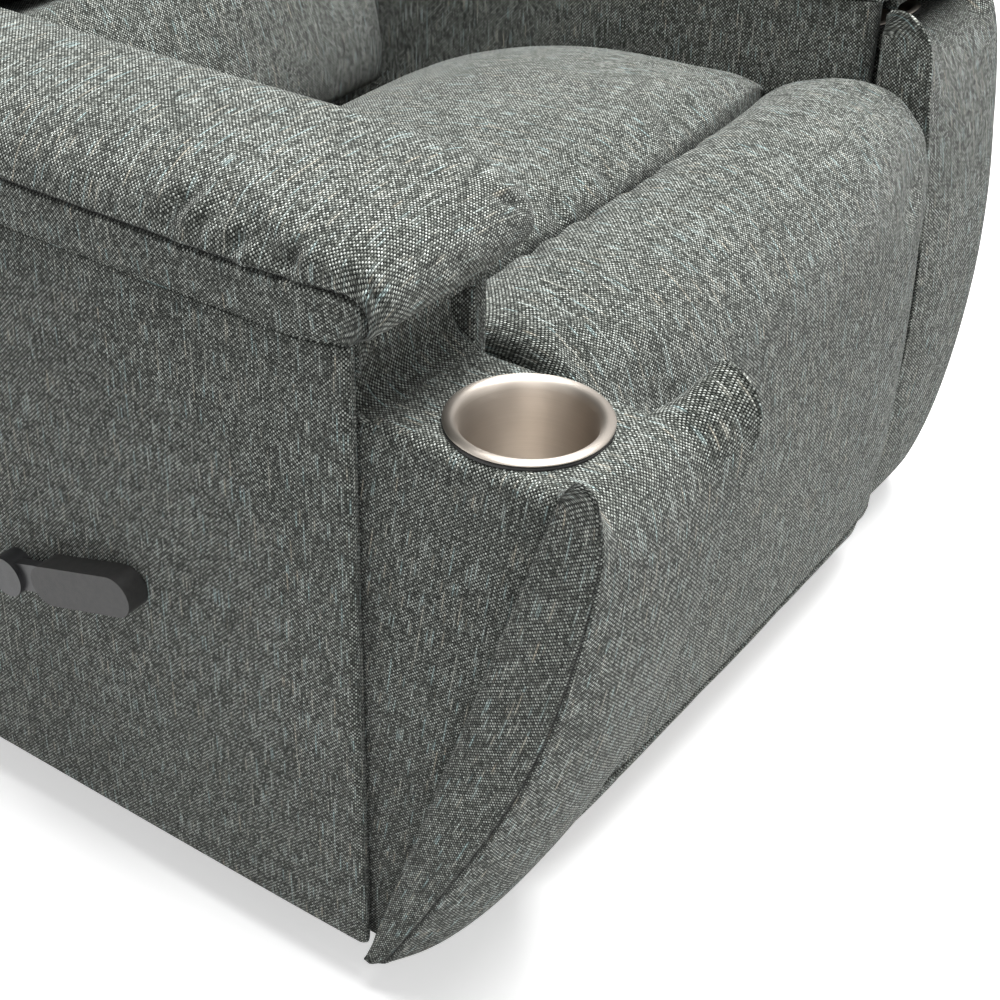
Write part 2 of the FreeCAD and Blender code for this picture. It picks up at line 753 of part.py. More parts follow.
cushion_back = back_front - back_cushion_depth
frame_depth = (cushion_back - back_frame_depth, cushion_back)
shell_depth = (frame_depth[0] - back_shell_t, frame_depth[0])
rung_x = (-back_post_x[0], back_post_x[0])
post = back_box(back_post_x, frame_depth, (-20, back_height - 45))
save("back_posts", *pair(post))
rungs = []
for rung in (0.03, 0.48, 0.88):
    rungs.append(back_box(rung_x, frame_depth, (rung * back_height, rung * back_height + 50)))
save("back_rungs", *rungs)
save("back_shell", back_box((-back_half + 2, back_half - 2), shell_depth, (-back_tail, back_height - 18)))

bracket_points = [
    (16, -18),
    (16, 14),
    (2, 40),
    (cushion_back, 46),
    (cushion_back, 150),
    (frame_depth[0], 150),
    (frame_depth[0], -18),
]
back_bracket = slab(back_bracket_x, [(back_pivot.y - n, back_pivot.z + v) for n, v in bracket_points])
back_bracket = back_bracket.cut(rod(back_bracket_x, back_pivot.y, back_pivot.z, back_pin_radius + 0.1))
save("back_brackets", *pair(leant(back_bracket)))


def back_cushion(low, high, bulge, shoulder):
    def section(x, drop):
        def at(n, v):
            return Vector(x, back_pivot.y - n, back_pivot.z + v)

        edge = back_front - drop
        a = at(cushion_back + 0.3, low + drop / 3)
        b = at(edge, low + drop / 3)
        c = at(edge - shoulder, high - drop / 3)
        d = at(cushion_back + 0.3, high - drop / 3)
        belly = at(edge + bulge, (low + high) / 2)
        roof = at((edge - shoulder + cushion_back) / 2, high - drop / 3 + 0.5 * shoulder + 2)
        return wire(a, (b,), (belly, c), (roof, d), (a,))

    sections = [section(part * back_half, drop * back_edge_drop) for part, drop in spread]
    return leant(Part.makeLoft(sections, True))


save("lumbar_cushion", back_cushion(80, 0.37 * back_height, 22, 4))
save("middle_cushion", back_cushion(0.37 * back_height + 10, 0.68 * back_height, 22, 4))
save("head_cushion", back_cushion(0.68 * back_height + 10, back_height - 22, 26, 34))
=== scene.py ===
import json
import math

import bmesh
import bpy
import numpy as np
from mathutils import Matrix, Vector
from mathutils.bvhtree import BVHTree
from mathutils.kdtree import KDTree


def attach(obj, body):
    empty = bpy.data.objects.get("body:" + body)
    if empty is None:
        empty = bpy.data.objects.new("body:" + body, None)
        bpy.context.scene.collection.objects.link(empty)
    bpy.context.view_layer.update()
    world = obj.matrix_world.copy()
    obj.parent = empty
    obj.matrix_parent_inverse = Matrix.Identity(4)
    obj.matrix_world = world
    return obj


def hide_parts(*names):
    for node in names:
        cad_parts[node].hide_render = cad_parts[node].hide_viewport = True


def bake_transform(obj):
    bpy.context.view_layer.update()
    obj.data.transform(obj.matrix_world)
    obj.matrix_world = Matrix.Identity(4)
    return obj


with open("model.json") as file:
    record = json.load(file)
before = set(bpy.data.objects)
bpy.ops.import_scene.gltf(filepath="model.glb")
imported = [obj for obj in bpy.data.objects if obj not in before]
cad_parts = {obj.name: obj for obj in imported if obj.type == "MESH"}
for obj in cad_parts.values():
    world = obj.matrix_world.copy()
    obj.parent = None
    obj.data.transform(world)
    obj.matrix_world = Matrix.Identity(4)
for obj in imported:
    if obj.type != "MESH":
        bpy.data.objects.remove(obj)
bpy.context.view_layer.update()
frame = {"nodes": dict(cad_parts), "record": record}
nodes = frame["nodes"]
scene = bpy.context.scene
MM = 0.001

# Places taken from the part's source, in millimetres
HINGE_Y, HINGE_Z = -337.5, 53.0
OPEN = math.radians(17.6)
BACK_Y, BACK_Z = 150.0, 305.0
LEAN = math.radians(16.3)
CUP_X, CUP_Y = 380.0, -419.0
SHELF_Z = 510.0
ARM_Z = (48.0, 567.0)
RIGHT, LEFT = -1, 1
SIDES = (("right", RIGHT), ("left", LEFT))
MIRROR = [-1, 1, 1]

# Settings of the lines, the cloth and the folds pressed into it
FINE_STEPS = 60
CLOTH_FRAMES, CLOTH_QUALITY = 20, 4
WELD_PLACES = 2
FOLD_STEP, FOLD_LEAST = 1.2, 12
FOLD_RIDGE, FOLD_FADE = 0.8, 0.4
RIDGE_AT, RIDGE_WIDTH = 2.0, 0.9


# Shapes

def track(points, t):
    """Smooth line through the points; t runs from 0 to 1 with the points evenly spread."""
    p = np.asarray(points, float)
    n = len(p) - 1
    m = np.empty_like(p)
    m[1:-1] = (p[2:] - p[:-2]) / 2
    m[0] = p[1] - p[0]
    m[-1] = p[-1] - p[-2]
    s = np.clip(np.asarray(t, float) * n, 0, n)
    i = np.minimum(s.astype(int), n - 1)
    f = (s - i)[..., None]
    f2, f3 = f * f, f * f * f
    return ((2 * f3 - 3 * f2 + 1) * p[i] + (f3 - 2 * f2 + f) * m[i]
            + (3 * f2 - 2 * f3) * p[i + 1] + (f3 - f2) * m[i + 1])


def even(points, count):
    """Points evenly spaced by length along the smooth line through the given points."""
    fine = track(points, np.linspace(0, 1, FINE_STEPS * len(points)))
    run = np.concatenate([[0], np.cumsum(np.linalg.norm(np.diff(fine, axis=0), axis=1))])
    at = np.linspace(0, run[-1], count)
    return np.stack([np.interp(at, run, fine[:, k]) for k in range(fine.shape[1])], -1)


def grid(x, y, z):
    return np.stack(np.broadcast_arrays(x, y, z), -1).astype(float)


def between(a, b, count, crowd=1.0):
    """Grid of straight lines from line a to line b, its rows crowded toward a."""
    t = np.linspace(0, 1, count)[:, None, None] ** crowd
    return a[None] * (1 - t) + b[None] * t


def cloth_uv(p, warp_rows=True, origin=(0.0, 0.0)):
    """Lengths along a grid's rows and columns in metres; v follows the slubs."""
    rows, cols = p.shape[:2]
    ii, jj = np.zeros((rows, cols)), np.zeros((rows, cols))
    ii[1:] = np.cumsum(np.linalg.norm(np.diff(p, axis=0), axis=2), axis=0) * MM
    jj[:, 1:] = np.cumsum(np.linalg.norm(np.diff(p, axis=1), axis=2), axis=1) * MM
    ii -= ii[rows // 2:rows // 2 + 1]
    jj -= jj[:, cols // 2:cols // 2 + 1]
    u, v = (jj, ii) if warp_rows else (ii, jj)
    return np.stack([u + origin[0], v + origin[1]], -1)


def laid(sheets, du=0.0, dv=0.0):
    """Each grid with its place on the cloth, each next one moved on there by (du, dv)."""
    return [(p, cloth_uv(p, True, (du * k, dv * k))) for k, p in enumerate(sheets)]


def signed_power(value, power):
    """value raised to a power, with its sign kept."""
    return np.sign(value) * np.abs(value) ** power


def piece(name, patches, side, material):
    """One mesh from grids of points in millimetres, welded where they meet. Each patch is (points, uv)."""
    corners, quads, uvs, rims = [], [], [], []
    base = 0
    for p, uv in patches:
        rows, cols = p.shape[:2]
        index = base + np.arange(rows * cols).reshape(rows, cols)
        quad = np.stack([index[:-1, :-1], index[:-1, 1:], index[1:, 1:], index[1:, :-1]], -1)
        quads.append(quad.reshape(-1, 4))
        corners.append(p.reshape(-1, 3))
        uvs.append(uv.reshape(-1, 2))
        rim = np.zeros((rows, cols), bool)
        rim[0] = rim[-1] = True
        rim[:, 0] = rim[:, -1] = True
        rims.append(rim.ravel())
        base += rows * cols
    corners = np.concatenate(corners) * [side, 1, 1]
    quads, uvs, rims = np.concatenate(quads), np.concatenate(uvs), np.concatenate(rims)
    _, first, same = np.unique(np.round(corners, WELD_PLACES), axis=0, return_index=True, return_inverse=True)
    same = same.ravel()
    faces, loops = [], []
    for quad in quads:
        kept = [k for k in range(4) if same[quad[k]] != same[quad[k - 1]]]
        if len(kept) > 2:
            faces.append([int(same[quad[k]]) for k in kept])
            loops.extend(quad[k] for k in kept)
    mesh = bpy.data.meshes.new(name)
    mesh.from_pydata((corners[first] * MM).tolist(), [], faces)
    layer = mesh.uv_layers.new(name="cloth")
    layer.data.foreach_set("uv", uvs[np.array(loops)].astype(np.float32).ravel())
    work = bmesh.new()
    work.from_mesh(mesh)
    bmesh.ops.recalc_face_normals(work, faces=work.faces)
    work.to_mesh(mesh)
    work.free()
    mesh.polygons.foreach_set("use_smooth", [True] * len(mesh.polygons))
    made = bpy.data.objects.new(name, mesh)
    scene.collection.objects.link(made)
    held = np.zeros(len(first), bool)
    np.logical_or.at(held, same, rims)
    made["held"] = np.flatnonzero(held).tolist()
    mesh.materials.append(material)
    return made


def points_of(made):
    co = np.empty(len(made.data.vertices) * 3, np.float32)
    made.data.vertices.foreach_get("co", co)
    return co.reshape(-1, 3).astype(float)


def set_points(made, co):
    made.data.vertices.foreach_set("co", co.astype(np.float32).ravel())
    made.data.update()


def puff(made, cap, pressure=4.0, also_held=None):
    """Inflates a cover as cloth between its held seams; no point moves further than cap, in millimetres."""
    held = set(made["held"])
    rest = points_of(made)
    if also_held is not None:
        held |= set(np.flatnonzero(also_held(rest / MM)).tolist())
    group = made.vertex_groups.new(name="held")
    group.add(sorted(held), 1.0, "REPLACE")
    cloth = made.modifiers.new("cloth", "CLOTH")
    cloth.settings.vertex_group_mass = "held"
    cloth.settings.use_pressure = True
    cloth.settings.uniform_pressure_force = pressure
    cloth.settings.effector_weights.gravity = 0
    cloth.settings.quality = CLOTH_QUALITY
    cloth.collision_settings.use_collision = False
    cloth.point_cache.frame_start = 1
    cloth.point_cache.frame_end = CLOTH_FRAMES
    for step in range(1, CLOTH_FRAMES + 1):
        scene.frame_set(step)
    grown = made.evaluated_get(bpy.context.evaluated_depsgraph_get())
    moved = points_of(grown)
    made.modifiers.remove(cloth)
    made.vertex_groups.remove(group)
    scene.frame_set(1)
    shift = moved - rest
    far = np.linalg.norm(shift, axis=1, keepdims=True)
    limit = cap * MM
    shift *= limit * np.tanh(far / limit) / np.maximum(far, 1e-9)
    set_points(made, rest + shift)


def crease(made, line, depth, width, ridge, fade, dark):
    """Presses a fold or a stitched seam into a cover along a line of points in millimetres, and paints shade
    along it.

    ridge is the height of its banks, fade the share of the line over which each end dies out, dark the strength
    of the painted shade."""
    co = points_of(made)
    normals = np.empty(len(co) * 3, np.float32)
    made.data.vertex_normals.foreach_get("vector", normals)
    normals = normals.reshape(-1, 3)
    path = np.asarray(line, float)
    length = np.linalg.norm(np.diff(path, axis=0), axis=1).sum()
    skin = BVHTree.FromPolygons(co.tolist(), [face.vertices[:] for face in made.data.polygons])
    steps = max(FOLD_LEAST, int(length / FOLD_STEP))
    path = [skin.find_nearest(point)[0] for point in even(path, steps) * MM]
    tree_of = KDTree(len(path))
    for k, point in enumerate(path):
        tree_of.insert(point, k)
    tree_of.balance()
    found = [tree_of.find(point) for point in co]
    near = np.array([hit[1] for hit in found]) / (len(path) - 1)
    d = np.array([hit[2] for hit in found]) / (width * MM)
    taper = np.clip(np.minimum(near, 1 - near) / fade, 0, 1) if fade else 1.0
    press = -np.exp(-d * d) + ridge * np.exp(-((d - RIDGE_AT) / RIDGE_WIDTH) ** 2)
    set_points(made, co + normals * (press * taper * depth * MM)[:, None])
    # The seam attribute holds painted shade, which darkens the cloth's colour along seams, folds and slots.
    if "seam" not in made.data.attributes:
        made.data.attributes.new("seam", "FLOAT", "POINT")
    seam = made.data.attributes["seam"].data
    before = np.empty(len(co), np.float32)
    seam.foreach_get("value", before)
    seam.foreach_set("value", np.maximum(before, np.exp(-d * d) * taper * dark).astype(np.float32))


def press_folds(made, folds, dark, deeper=1.0, wider=1.0):
    """Presses loose folds into a cover and paints shade in them, as strong as dark; each is (line, depth,
    width).
    """
    for line, depth, width in folds:
        crease(made, line, deeper * depth, wider * width, ridge=FOLD_RIDGE, fade=FOLD_FADE, dark=dark)


def refine(made):
    """Halves the faces of a cover's mesh, so that folds can be pressed into it."""
    halved = made.modifiers.new("halved", "SUBSURF")
    halved.levels = 1
    bpy.context.view_layer.update()
    fine = bpy.data.meshes.new_from_object(made.evaluated_get(bpy.context.evaluated_depsgraph_get()))
    made.modifiers.remove(halved)
    made.data = fine
    fine.name = made.name
    del made["held"]


def narrow(made, low, high):
    """Keeps a puffed cover between two planes across X, in millimetres."""
    co = points_of(made)
    co[:, 0] = np.clip(co[:, 0], low * MM, high * MM)
    set_points(made, co)


def twin(made, name, put=None):
    """The same piece mirrored to the other arm, then moved by put."""
    other = made.copy()
    other.name = name
    other.data = made.data.copy()
    other.data.name = name
    scene.collection.objects.link(other)
    co = points_of(made) * MIRROR
    if put:
        co = put(co / MM) * MM
    set_points(other, co)
    other.data.flip_normals()
    return other


def smoothed(made):
    smooth = made.modifiers.new("smooth", "SUBSURF")
    smooth.levels = smooth.render_levels = 1


def finish_piece(made, body, slot, *replaced, smooth=True, fill=None):
    """Rides a piece on its body and hides the parts that it replaces; fill is not used."""
    if smooth:
        smoothed(made)
    if "held" in made:
        del made["held"]
    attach(made, body)
    if replaced:
        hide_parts(*replaced)


def turned(p, angle, y, z):
    """Points turned about the line through (y, z) along X."""
    dy, dz = p[..., 1] - y, p[..., 2] - z
    c, s = math.cos(angle), math.sin(angle)
    return grid(p[..., 0], y + dy * c - dz * s, z + dy * s + dz * c)


def shut(p):
    """Points of the opened bin as they are with the bin shut."""
    return turned(p, -OPEN, HINGE_Y, HINGE_Z)


def on_board(x, v, n):
    """A point of the opened bin front: v up the board from the hinge, n out of it."""
    s, c = math.sin(OPEN), math.cos(OPEN)
    return grid(x, HINGE_Y - v * s - n * c, HINGE_Z + v * c - n * s)


def on_back(x, v, n):
    """A point of the leaning back: v up from its pivot, n forward."""
    s, c = math.sin(LEAN), math.cos(LEAN)
    return grid(x, BACK_Y + v * s - n * c, BACK_Z + v * c + n * s)


# Materials

def tree(name):
    """A new material with its node tree and its shader."""
    made = bpy.data.materials.new(name)
    made.use_nodes = True
    made.node_tree.nodes.clear()
    out = made.node_tree.nodes.new("ShaderNodeOutputMaterial")
    shader = made.node_tree.nodes.new("ShaderNodeBsdfPrincipled")
    made.node_tree.links.new(shader.outputs[0], out.inputs[0])
    return made, made.node_tree, shader


class Nodes:
    """Short names for the nodes of one material."""

    def __init__(self, made):
        self.t = made

    def put(self, socket, value):
        if isinstance(value, bpy.types.NodeSocket):
            self.t.links.new(value, socket)
        else:
            socket.default_value = value

    def math(self, kind, *values, clamp=False):
        node = self.t.nodes.new("ShaderNodeMath")
        node.operation = kind
        node.use_clamp = clamp
        for socket, value in zip(node.inputs, values):
            self.put(socket, value)
        return node.outputs[0]

    def mix(self, share, a, b, kind="MIX"):
        node = self.t.nodes.new("ShaderNodeMix")
        node.data_type = "RGBA"
        node.blend_type = kind
        self.put(node.inputs["Factor"], share)
        self.put(node.inputs[6], a)
        self.put(node.inputs[7], b)
        return node.outputs[2]

    def join(self, x, y, z=0.0):
        node = self.t.nodes.new("ShaderNodeCombineXYZ")
        for socket, value in zip(node.inputs, (x, y, z)):
            self.put(socket, value)
        return node.outputs[0]

    def split(self, vector):
        node = self.t.nodes.new("ShaderNodeSeparateXYZ")
        self.t.links.new(vector, node.inputs[0])
        return node.outputs

    def white(self, vector):
        node = self.t.nodes.new("ShaderNodeTexWhiteNoise")
        node.noise_dimensions = "3D"
        self.t.links.new(vector, node.inputs["Vector"])
        return node.outputs["Value"]

    def noise(self, vector, scale, detail=2.0, rough=0.5):
        node = self.t.nodes.new("ShaderNodeTexNoise")
        self.t.links.new(vector, node.inputs["Vector"])
        self.put(node.inputs["Scale"], scale)
        self.put(node.inputs["Detail"], detail)
        self.put(node.inputs["Roughness"], rough)
        return node.outputs[0]

    def ramp(self, value, *stops):
        node = self.t.nodes.new("ShaderNodeValToRGB")
        marks = node.color_ramp.elements
        while len(marks) < len(stops):
            marks.new(0.5)
        for mark, (place, colour) in zip(marks, stops):
            mark.position = place
            mark.color = (*colour, 1.0)
        self.t.links.new(value, node.inputs[0])
        return node.outputs[0]

    def uv(self):
        node = self.t.nodes.new("ShaderNodeUVMap")
        node.uv_map = "cloth"
        return node.outputs[0]

    def place(self):
        return self.t.nodes.new("ShaderNodeTexCoord").outputs["Object"]

    def bump(self, height, strength, distance):
        node = self.t.nodes.new("ShaderNodeBump")
        self.put(node.inputs["Height"], height)
        node.inputs["Strength"].default_value = strength
        node.inputs["Distance"].default_value = distance
        return node.outputs[0]

    def scaled(self, value, by, plus=0.0):
        """value times by, plus a number."""
        out = self.math("MULTIPLY", value, by)
        return self.math("ADD", out, plus) if plus else out

    def seen(self):
        """1 for what the camera sees, straight or in a mirror, and 0 for the light that falls on the object."""
        rays = self.t.nodes.new("ShaderNodeLightPath").outputs
        return self.math("MAXIMUM", self.math("MAXIMUM", rays["Is Camera Ray"], rays["Is Glossy Ray"]),
                         rays["Is Transmission Ray"])


# The weave: yarn spacing and wander in metres, then how much each share of a yarn's tone counts
YARN_PITCH, YARN_WANDER = 0.00154, 0.0016
YARN_TONE, WEFT_TONE, OVER_TONE, CELL_TONE, WEAR_TONE = 0.24, 0.06, 0.26, 0.28, 0.08
SLUB_FROM, SLUB_GAIN, SLUB_PALE = 0.615, 8.0, 0.9
TWEED_TONES = ((0.27, (0.012, 0.015, 0.012)), (0.42, (0.084, 0.093, 0.080)),
               (0.56, (0.300, 0.318, 0.287)), (0.74, (0.690, 0.730, 0.680)))
SLUB_TONES = ((0.0, (0.50, 0.68, 0.68)), (0.6, (0.74, 0.80, 0.75)), (1.0, (0.66, 0.60, 0.48)))


def make_tweed():
    """Plain weave of thick heathered yarn with pale slubs along the warp."""
    made, made_tree, shader = tree("heathered_tweed")
    n = Nodes(made_tree)
    u, v, _ = n.split(n.uv())
    drift = n.noise(n.uv(), 22.0, 1.0)
    wobble = n.math("MULTIPLY", n.math("SUBTRACT", drift, 0.5), YARN_WANDER)
    cu = n.math("DIVIDE", n.math("ADD", u, wobble), YARN_PITCH)
    cv = n.math("DIVIDE", n.math("SUBTRACT", v, wobble), YARN_PITCH)
    iu, iv = n.math("FLOOR", cu), n.math("FLOOR", cv)
    fu, fv = n.math("FRACT", cu), n.math("FRACT", cv)

    # Height of the yarns, warp over weft in every second cell
    over = n.math("MODULO", n.math("ABSOLUTE", n.math("ADD", iu, iv)), 2.0)
    under = n.math("SUBTRACT", 1.0, over)
    hump_u = n.math("SINE", n.scaled(fu, math.pi))
    hump_v = n.math("SINE", n.scaled(fv, math.pi))
    warp_high = n.math("MULTIPLY", hump_u, n.scaled(hump_v, 0.5, 0.5))
    weft_high = n.math("MULTIPLY", hump_v, n.scaled(hump_u, 0.5, 0.35))
    height = n.math("ADD", n.math("MULTIPLY", warp_high, over), n.math("MULTIPLY", weft_high, under))

    # Pale slubs, drawn out along single warp threads
    cell = n.white(n.join(iu, iv))
    thread = n.white(n.join(iu, n.math("FLOOR", n.scaled(cv, 0.05)), 3.0))
    slub_at = n.join(n.scaled(iu, 0.9), n.scaled(cv, 0.062), 5.0)
    slub = n.math("SUBTRACT", n.noise(slub_at, 1.0, 0.0), SLUB_FROM)
    slub = n.math("MULTIPLY", slub, SLUB_GAIN, clamp=True)
    slub = n.math("MULTIPLY", slub, n.scaled(over, 0.6, 0.4))
    slub = n.math("MULTIPLY", slub, n.scaled(cell, 0.5, 0.5))

    # Tone of the yarns
    yarn = n.noise(n.join(n.scaled(iu, 0.83), n.scaled(cv, 0.05)), 1.0, 1.0)
    weft = n.noise(n.join(n.scaled(cu, 0.08), n.scaled(iv, 0.83), 7.0), 1.0, 1.0)
    tone = n.math("ADD", n.scaled(yarn, YARN_TONE), n.scaled(weft, WEFT_TONE))
    tone = n.math("ADD", tone, n.scaled(over, OVER_TONE))
    tone = n.math("ADD", tone, n.scaled(cell, CELL_TONE))
    wear = n.noise(n.uv(), 9.0, 3.0)
    tone = n.math("ADD", tone, n.scaled(n.math("SUBTRACT", wear, 0.5), WEAR_TONE))
    colour = n.mix(n.scaled(slub, SLUB_PALE), n.ramp(tone, *TWEED_TONES), n.ramp(thread, *SLUB_TONES))

    # Painted shade between the yarns, and the painted shade of seams, folds and slots from the seam attribute
    gap = n.math("ADD", n.scaled(height, 1.35), 0.05, clamp=True)
    painted_shade_attr = made_tree.nodes.new("ShaderNodeAttribute")
    painted_shade_attr.attribute_name = "seam"
    gap = n.math("MULTIPLY", gap, n.math("SUBTRACT", 1.0, painted_shade_attr.outputs["Fac"]))
    n.put(shader.inputs["Base Color"], n.mix(1.0, colour, n.join(gap, gap, gap), "MULTIPLY"))
    shader.inputs["Roughness"].default_value = 0.92
    shader.inputs["Specular IOR Level"].default_value = 0.18
    shader.inputs["Sheen Weight"].default_value = 0.10
    shader.inputs["Sheen Roughness"].default_value = 0.45
    nap = n.noise(n.uv(), 2600.0, 1.0)
    relief = n.math("ADD", height, n.scaled(n.math("ADD", nap, slub), 0.25))
    n.put(shader.inputs["Normal"], n.bump(relief, 0.9, 0.0009))
    return made


def make_steel():
    """Spun stainless steel, brushed round the cup."""
    made, made_tree, shader = tree("brushed_stainless")
    n = Nodes(made_tree)
    u, v, _ = n.split(n.uv())
    lines = n.noise(n.join(n.scaled(u, 4.0), n.scaled(v, 5200.0)), 1.0, 3.0)
    smear = n.noise(n.join(n.scaled(u, 24.0), n.scaled(v, 30.0)), 1.0, 2.0)
    tone = n.math("ADD", n.scaled(lines, 0.5), n.scaled(smear, 0.5))
    n.put(shader.inputs["Base Color"], n.ramp(tone, (0.2, (0.40, 0.355, 0.31)), (0.8, (0.57, 0.52, 0.465))))
    shader.inputs["Metallic"].default_value = 1.0
    n.put(shader.inputs["Roughness"], n.scaled(lines, 0.10, 0.38))
    shader.inputs["Anisotropic"].default_value = 0.75
    shader.inputs["Anisotropic Rotation"].default_value = 0.25
    along = made_tree.nodes.new("ShaderNodeTangent")
    along.direction_type = "UV_MAP"
    along.uv_map = "cloth"
    n.put(shader.inputs["Tangent"], along.outputs[0])
    n.put(shader.inputs["Normal"], n.bump(lines, 0.06, 0.0001))
    return made


def make_plain(name, dark, light, rough, metal=0.0, scale=60.0):
    """Enamel, plating, wire or rubber with a fine uneven skin."""
    made, made_tree, shader = tree(name)
    n = Nodes(made_tree)
    broad = n.noise(n.place(), scale, 4.0, 0.6)
    fine = n.noise(n.place(), scale * 14, 3.0, 0.6)
    n.put(shader.inputs["Base Color"], n.ramp(broad, (0.3, dark), (0.7, light)))
    n.put(shader.inputs["Roughness"], n.scaled(fine, 0.22, rough - 0.11))
    shader.inputs["Metallic"].default_value = metal
    n.put(shader.inputs["Normal"], n.bump(fine, 0.2, 0.0003))
    return made


def make_wood():
    """Bare hardwood with rings drawn out along each board."""
    made, made_tree, shader = tree("bare_hardwood")
    n = Nodes(made_tree)
    x, y, z = n.split(n.place())
    warp = n.noise(n.join(n.scaled(x, 3.0), n.scaled(y, 3.0), n.scaled(z, 26.0)), 1.0, 4.0, 0.6)
    rings = n.math("SINE", n.scaled(n.math("ADD", warp, n.scaled(z, 0.4)), 60.0))
    pores = n.noise(n.join(n.scaled(x, 40.0), n.scaled(y, 40.0), n.scaled(z, 900.0)), 1.0, 2.0)
    tone = n.math("ADD", n.scaled(rings, 0.25), pores)
    n.put(shader.inputs["Base Color"], n.ramp(tone, (0.2, (0.30, 0.19, 0.10)), (0.8, (0.60, 0.45, 0.28))))
    n.put(shader.inputs["Roughness"], n.scaled(pores, 0.25, 0.5))
    n.put(shader.inputs["Normal"], n.bump(pores, 0.3, 0.0004))
    return made


TWEED = make_tweed()
STEEL = make_steel()
RUBBER = make_plain("black_rubber", (0.010, 0.010, 0.010), (0.022, 0.021, 0.020), 0.55, scale=200.0)
ENAMEL = make_plain("black_enamel", (0.012, 0.012, 0.013), (0.030, 0.030, 0.032), 0.38)
ZINC = make_plain("zinc_plate", (0.42, 0.42, 0.42), (0.68, 0.68, 0.70), 0.36, metal=1.0)
SPRING = make_plain("spring_wire", (0.11, 0.11, 0.115), (0.26, 0.26, 0.27), 0.42, metal=1.0)
WOOD = make_wood()

FINISHES = {"frame_wood": WOOD, "black_steel": ENAMEL, "zinc_steel": ZINC, "spring_steel": SPRING,
            "stainless_cup": STEEL, "black_plastic": RUBBER, "tweed": TWEED}
slot_of = {row["node"]: row["material_slot"] for row in frame["record"]["subparts"]}
for name, node in nodes.items():
    node.data.materials.clear()
    node.data.materials.append(FINISHES[slot_of[name]])


# Arm pillows

PILLOW_X = (281.0, 464.0)
PILLOW_MID = [(262, 568), (283, 594), (280, 624), (258, 640), (210, 645), (60, 646), (-90, 647), (-220, 648),
              (-292, 646), (-328, 643), (-350, 636), (-364, 623), (-370, 606), (-366, 588), (-341, 573)]
PILLOW_EDGE = [(262, 568), (268, 582), (264, 596), (246, 603), (205, 605), (60, 605), (-90, 605), (-220, 606),
               (-285, 607), (-318, 609), (-339, 607), (-350, 600), (-354, 590), (-350, 580), (-341, 573)]
PILLOW_FOOT = [(262, 568), (262, 568), (258, 568), (240, 568), (205, 568), (60, 568), (-90, 568), (-220, 568),
               (-282, 568), (-306, 568), (-320, 568), (-330, 568.5), (-335, 569.5), (-339, 571.5), (-341, 573)]
PILLOW_FOLDS = (
    ([(-466, -196, 609), (-465, -205, 622), (-452, -213, 635), (-432, -218, 643)], 6.0, 6.0),
    ([(-466, -218, 609), (-464, -228, 624), (-452, -236, 636)], 3.0, 5.0),
    ([(-466, -250, 609), (-466, -260, 622), (-458, -270, 633)], 4.0, 5.0),
    ([(-466, -290, 608), (-463, -300, 622), (-452, -308, 634)], 2.6, 5.0),
    ([(-460, -352, 625), (-454, -358, 612), (-448, -356, 600)], 3.0, 3.5),
    ([(-395, -371, 618), (-380, -370, 600), (-372, -364, 590)], 2.0, 5.0),
    ([(-312, -340, 602), (-322, -352, 616), (-336, -358, 630)], 3.2, 4.0),
)


def arm_pillow(name):
    """The right arm's pillow: a rounded top, a band down each side and a flat foot."""
    rows, cols, band_rows, band_crowd = 96, 34, 10, 1.5
    sides_round, top_round = 0.85, 0.75
    nose_from, nose_run, nose_narrower, ends_narrower, foot_wider = -306, 40, 8, 4, 3
    held_below = 571
    t = np.linspace(0, 1, rows)
    mid, edge, foot = track(PILLOW_MID, t), track(PILLOW_EDGE, t), track(PILLOW_FOOT, t)
    share = np.linspace(-1, 1, cols)
    share = np.sign(share) * (1 - (1 - np.abs(share)) ** 1.45)
    ends = np.clip(np.minimum(t, 1 - t) * 9, 0, 1) ** 0.5
    span = np.radians(78 + 22 * ends)[:, None]
    angle = share[None] * span
    across, reach = signed_power(np.sin(angle), sides_round), signed_power(np.sin(span), sides_round)
    rise, low = signed_power(np.cos(angle), top_round), signed_power(np.cos(span), top_round)
    rise = (rise - low) / (1 - low)
    inner, outer = PILLOW_X
    nose = np.clip((nose_from - edge[:, :1]) / nose_run, 0, 1) ** 2
    half = (outer - inner) / 2 - ends_narrower * (1 - ends)[:, None] - nose_narrower * nose
    x = (inner + outer) / 2 - half * across / reach
    y = edge[:, :1] + (mid[:, :1] - edge[:, :1]) * rise
    z = edge[:, 1:] + (mid[:, 1:] - edge[:, 1:]) * rise
    top = grid(x, y, z)
    foot_out = grid(np.where(ends < 1, x[:, 0], x[:, 0] - foot_wider), foot[:, 0], foot[:, 1])
    foot_in = grid(np.where(ends < 1, x[:, -1], x[:, -1] + foot_wider), foot[:, 0], foot[:, 1])
    outer_band = np.swapaxes(between(top[:, 0], foot_out, band_rows, band_crowd), 0, 1)
    inner_band = np.swapaxes(between(top[:, -1], foot_in, band_rows, band_crowd), 0, 1)
    share = ((x - x[:, :1]) / (x[:, -1:] - x[:, :1]))[..., None]
    under = foot_out[:, None] * (1 - share) + foot_in[:, None] * share
    made = piece(name, [(top, cloth_uv(top, False)), (outer_band, cloth_uv(outer_band, False, (0.7, 0.3))),
                        (inner_band, cloth_uv(inner_band, False, (1.1, 0.5))), (under, cloth_uv(under))],
                 RIGHT, TWEED)
    puff(made, 9.0, also_held=lambda p: p[:, 2] < held_below)
    refine(made)
    # Seams along both top edges and loose folds, each with painted shade in its groove
    for k in (0, -1):
        crease(made, top[4:-1, k] * MIRROR, depth=2.6, width=1.8, ridge=0.3, fade=0.02, dark=0.75)
    press_folds(made, PILLOW_FOLDS, dark=0.25)
    return made


pillow = arm_pillow("arm_right_pillow_cover")
other = twin(pillow, "arm_left_pillow_cover")
finish_piece(pillow, "rocking_frame", "tweed", "arm_right_pillow", fill=0.7)
finish_piece(other, "rocking_frame", "tweed", "arm_left_pillow", fill=0.7)


# Flat upholstered boards

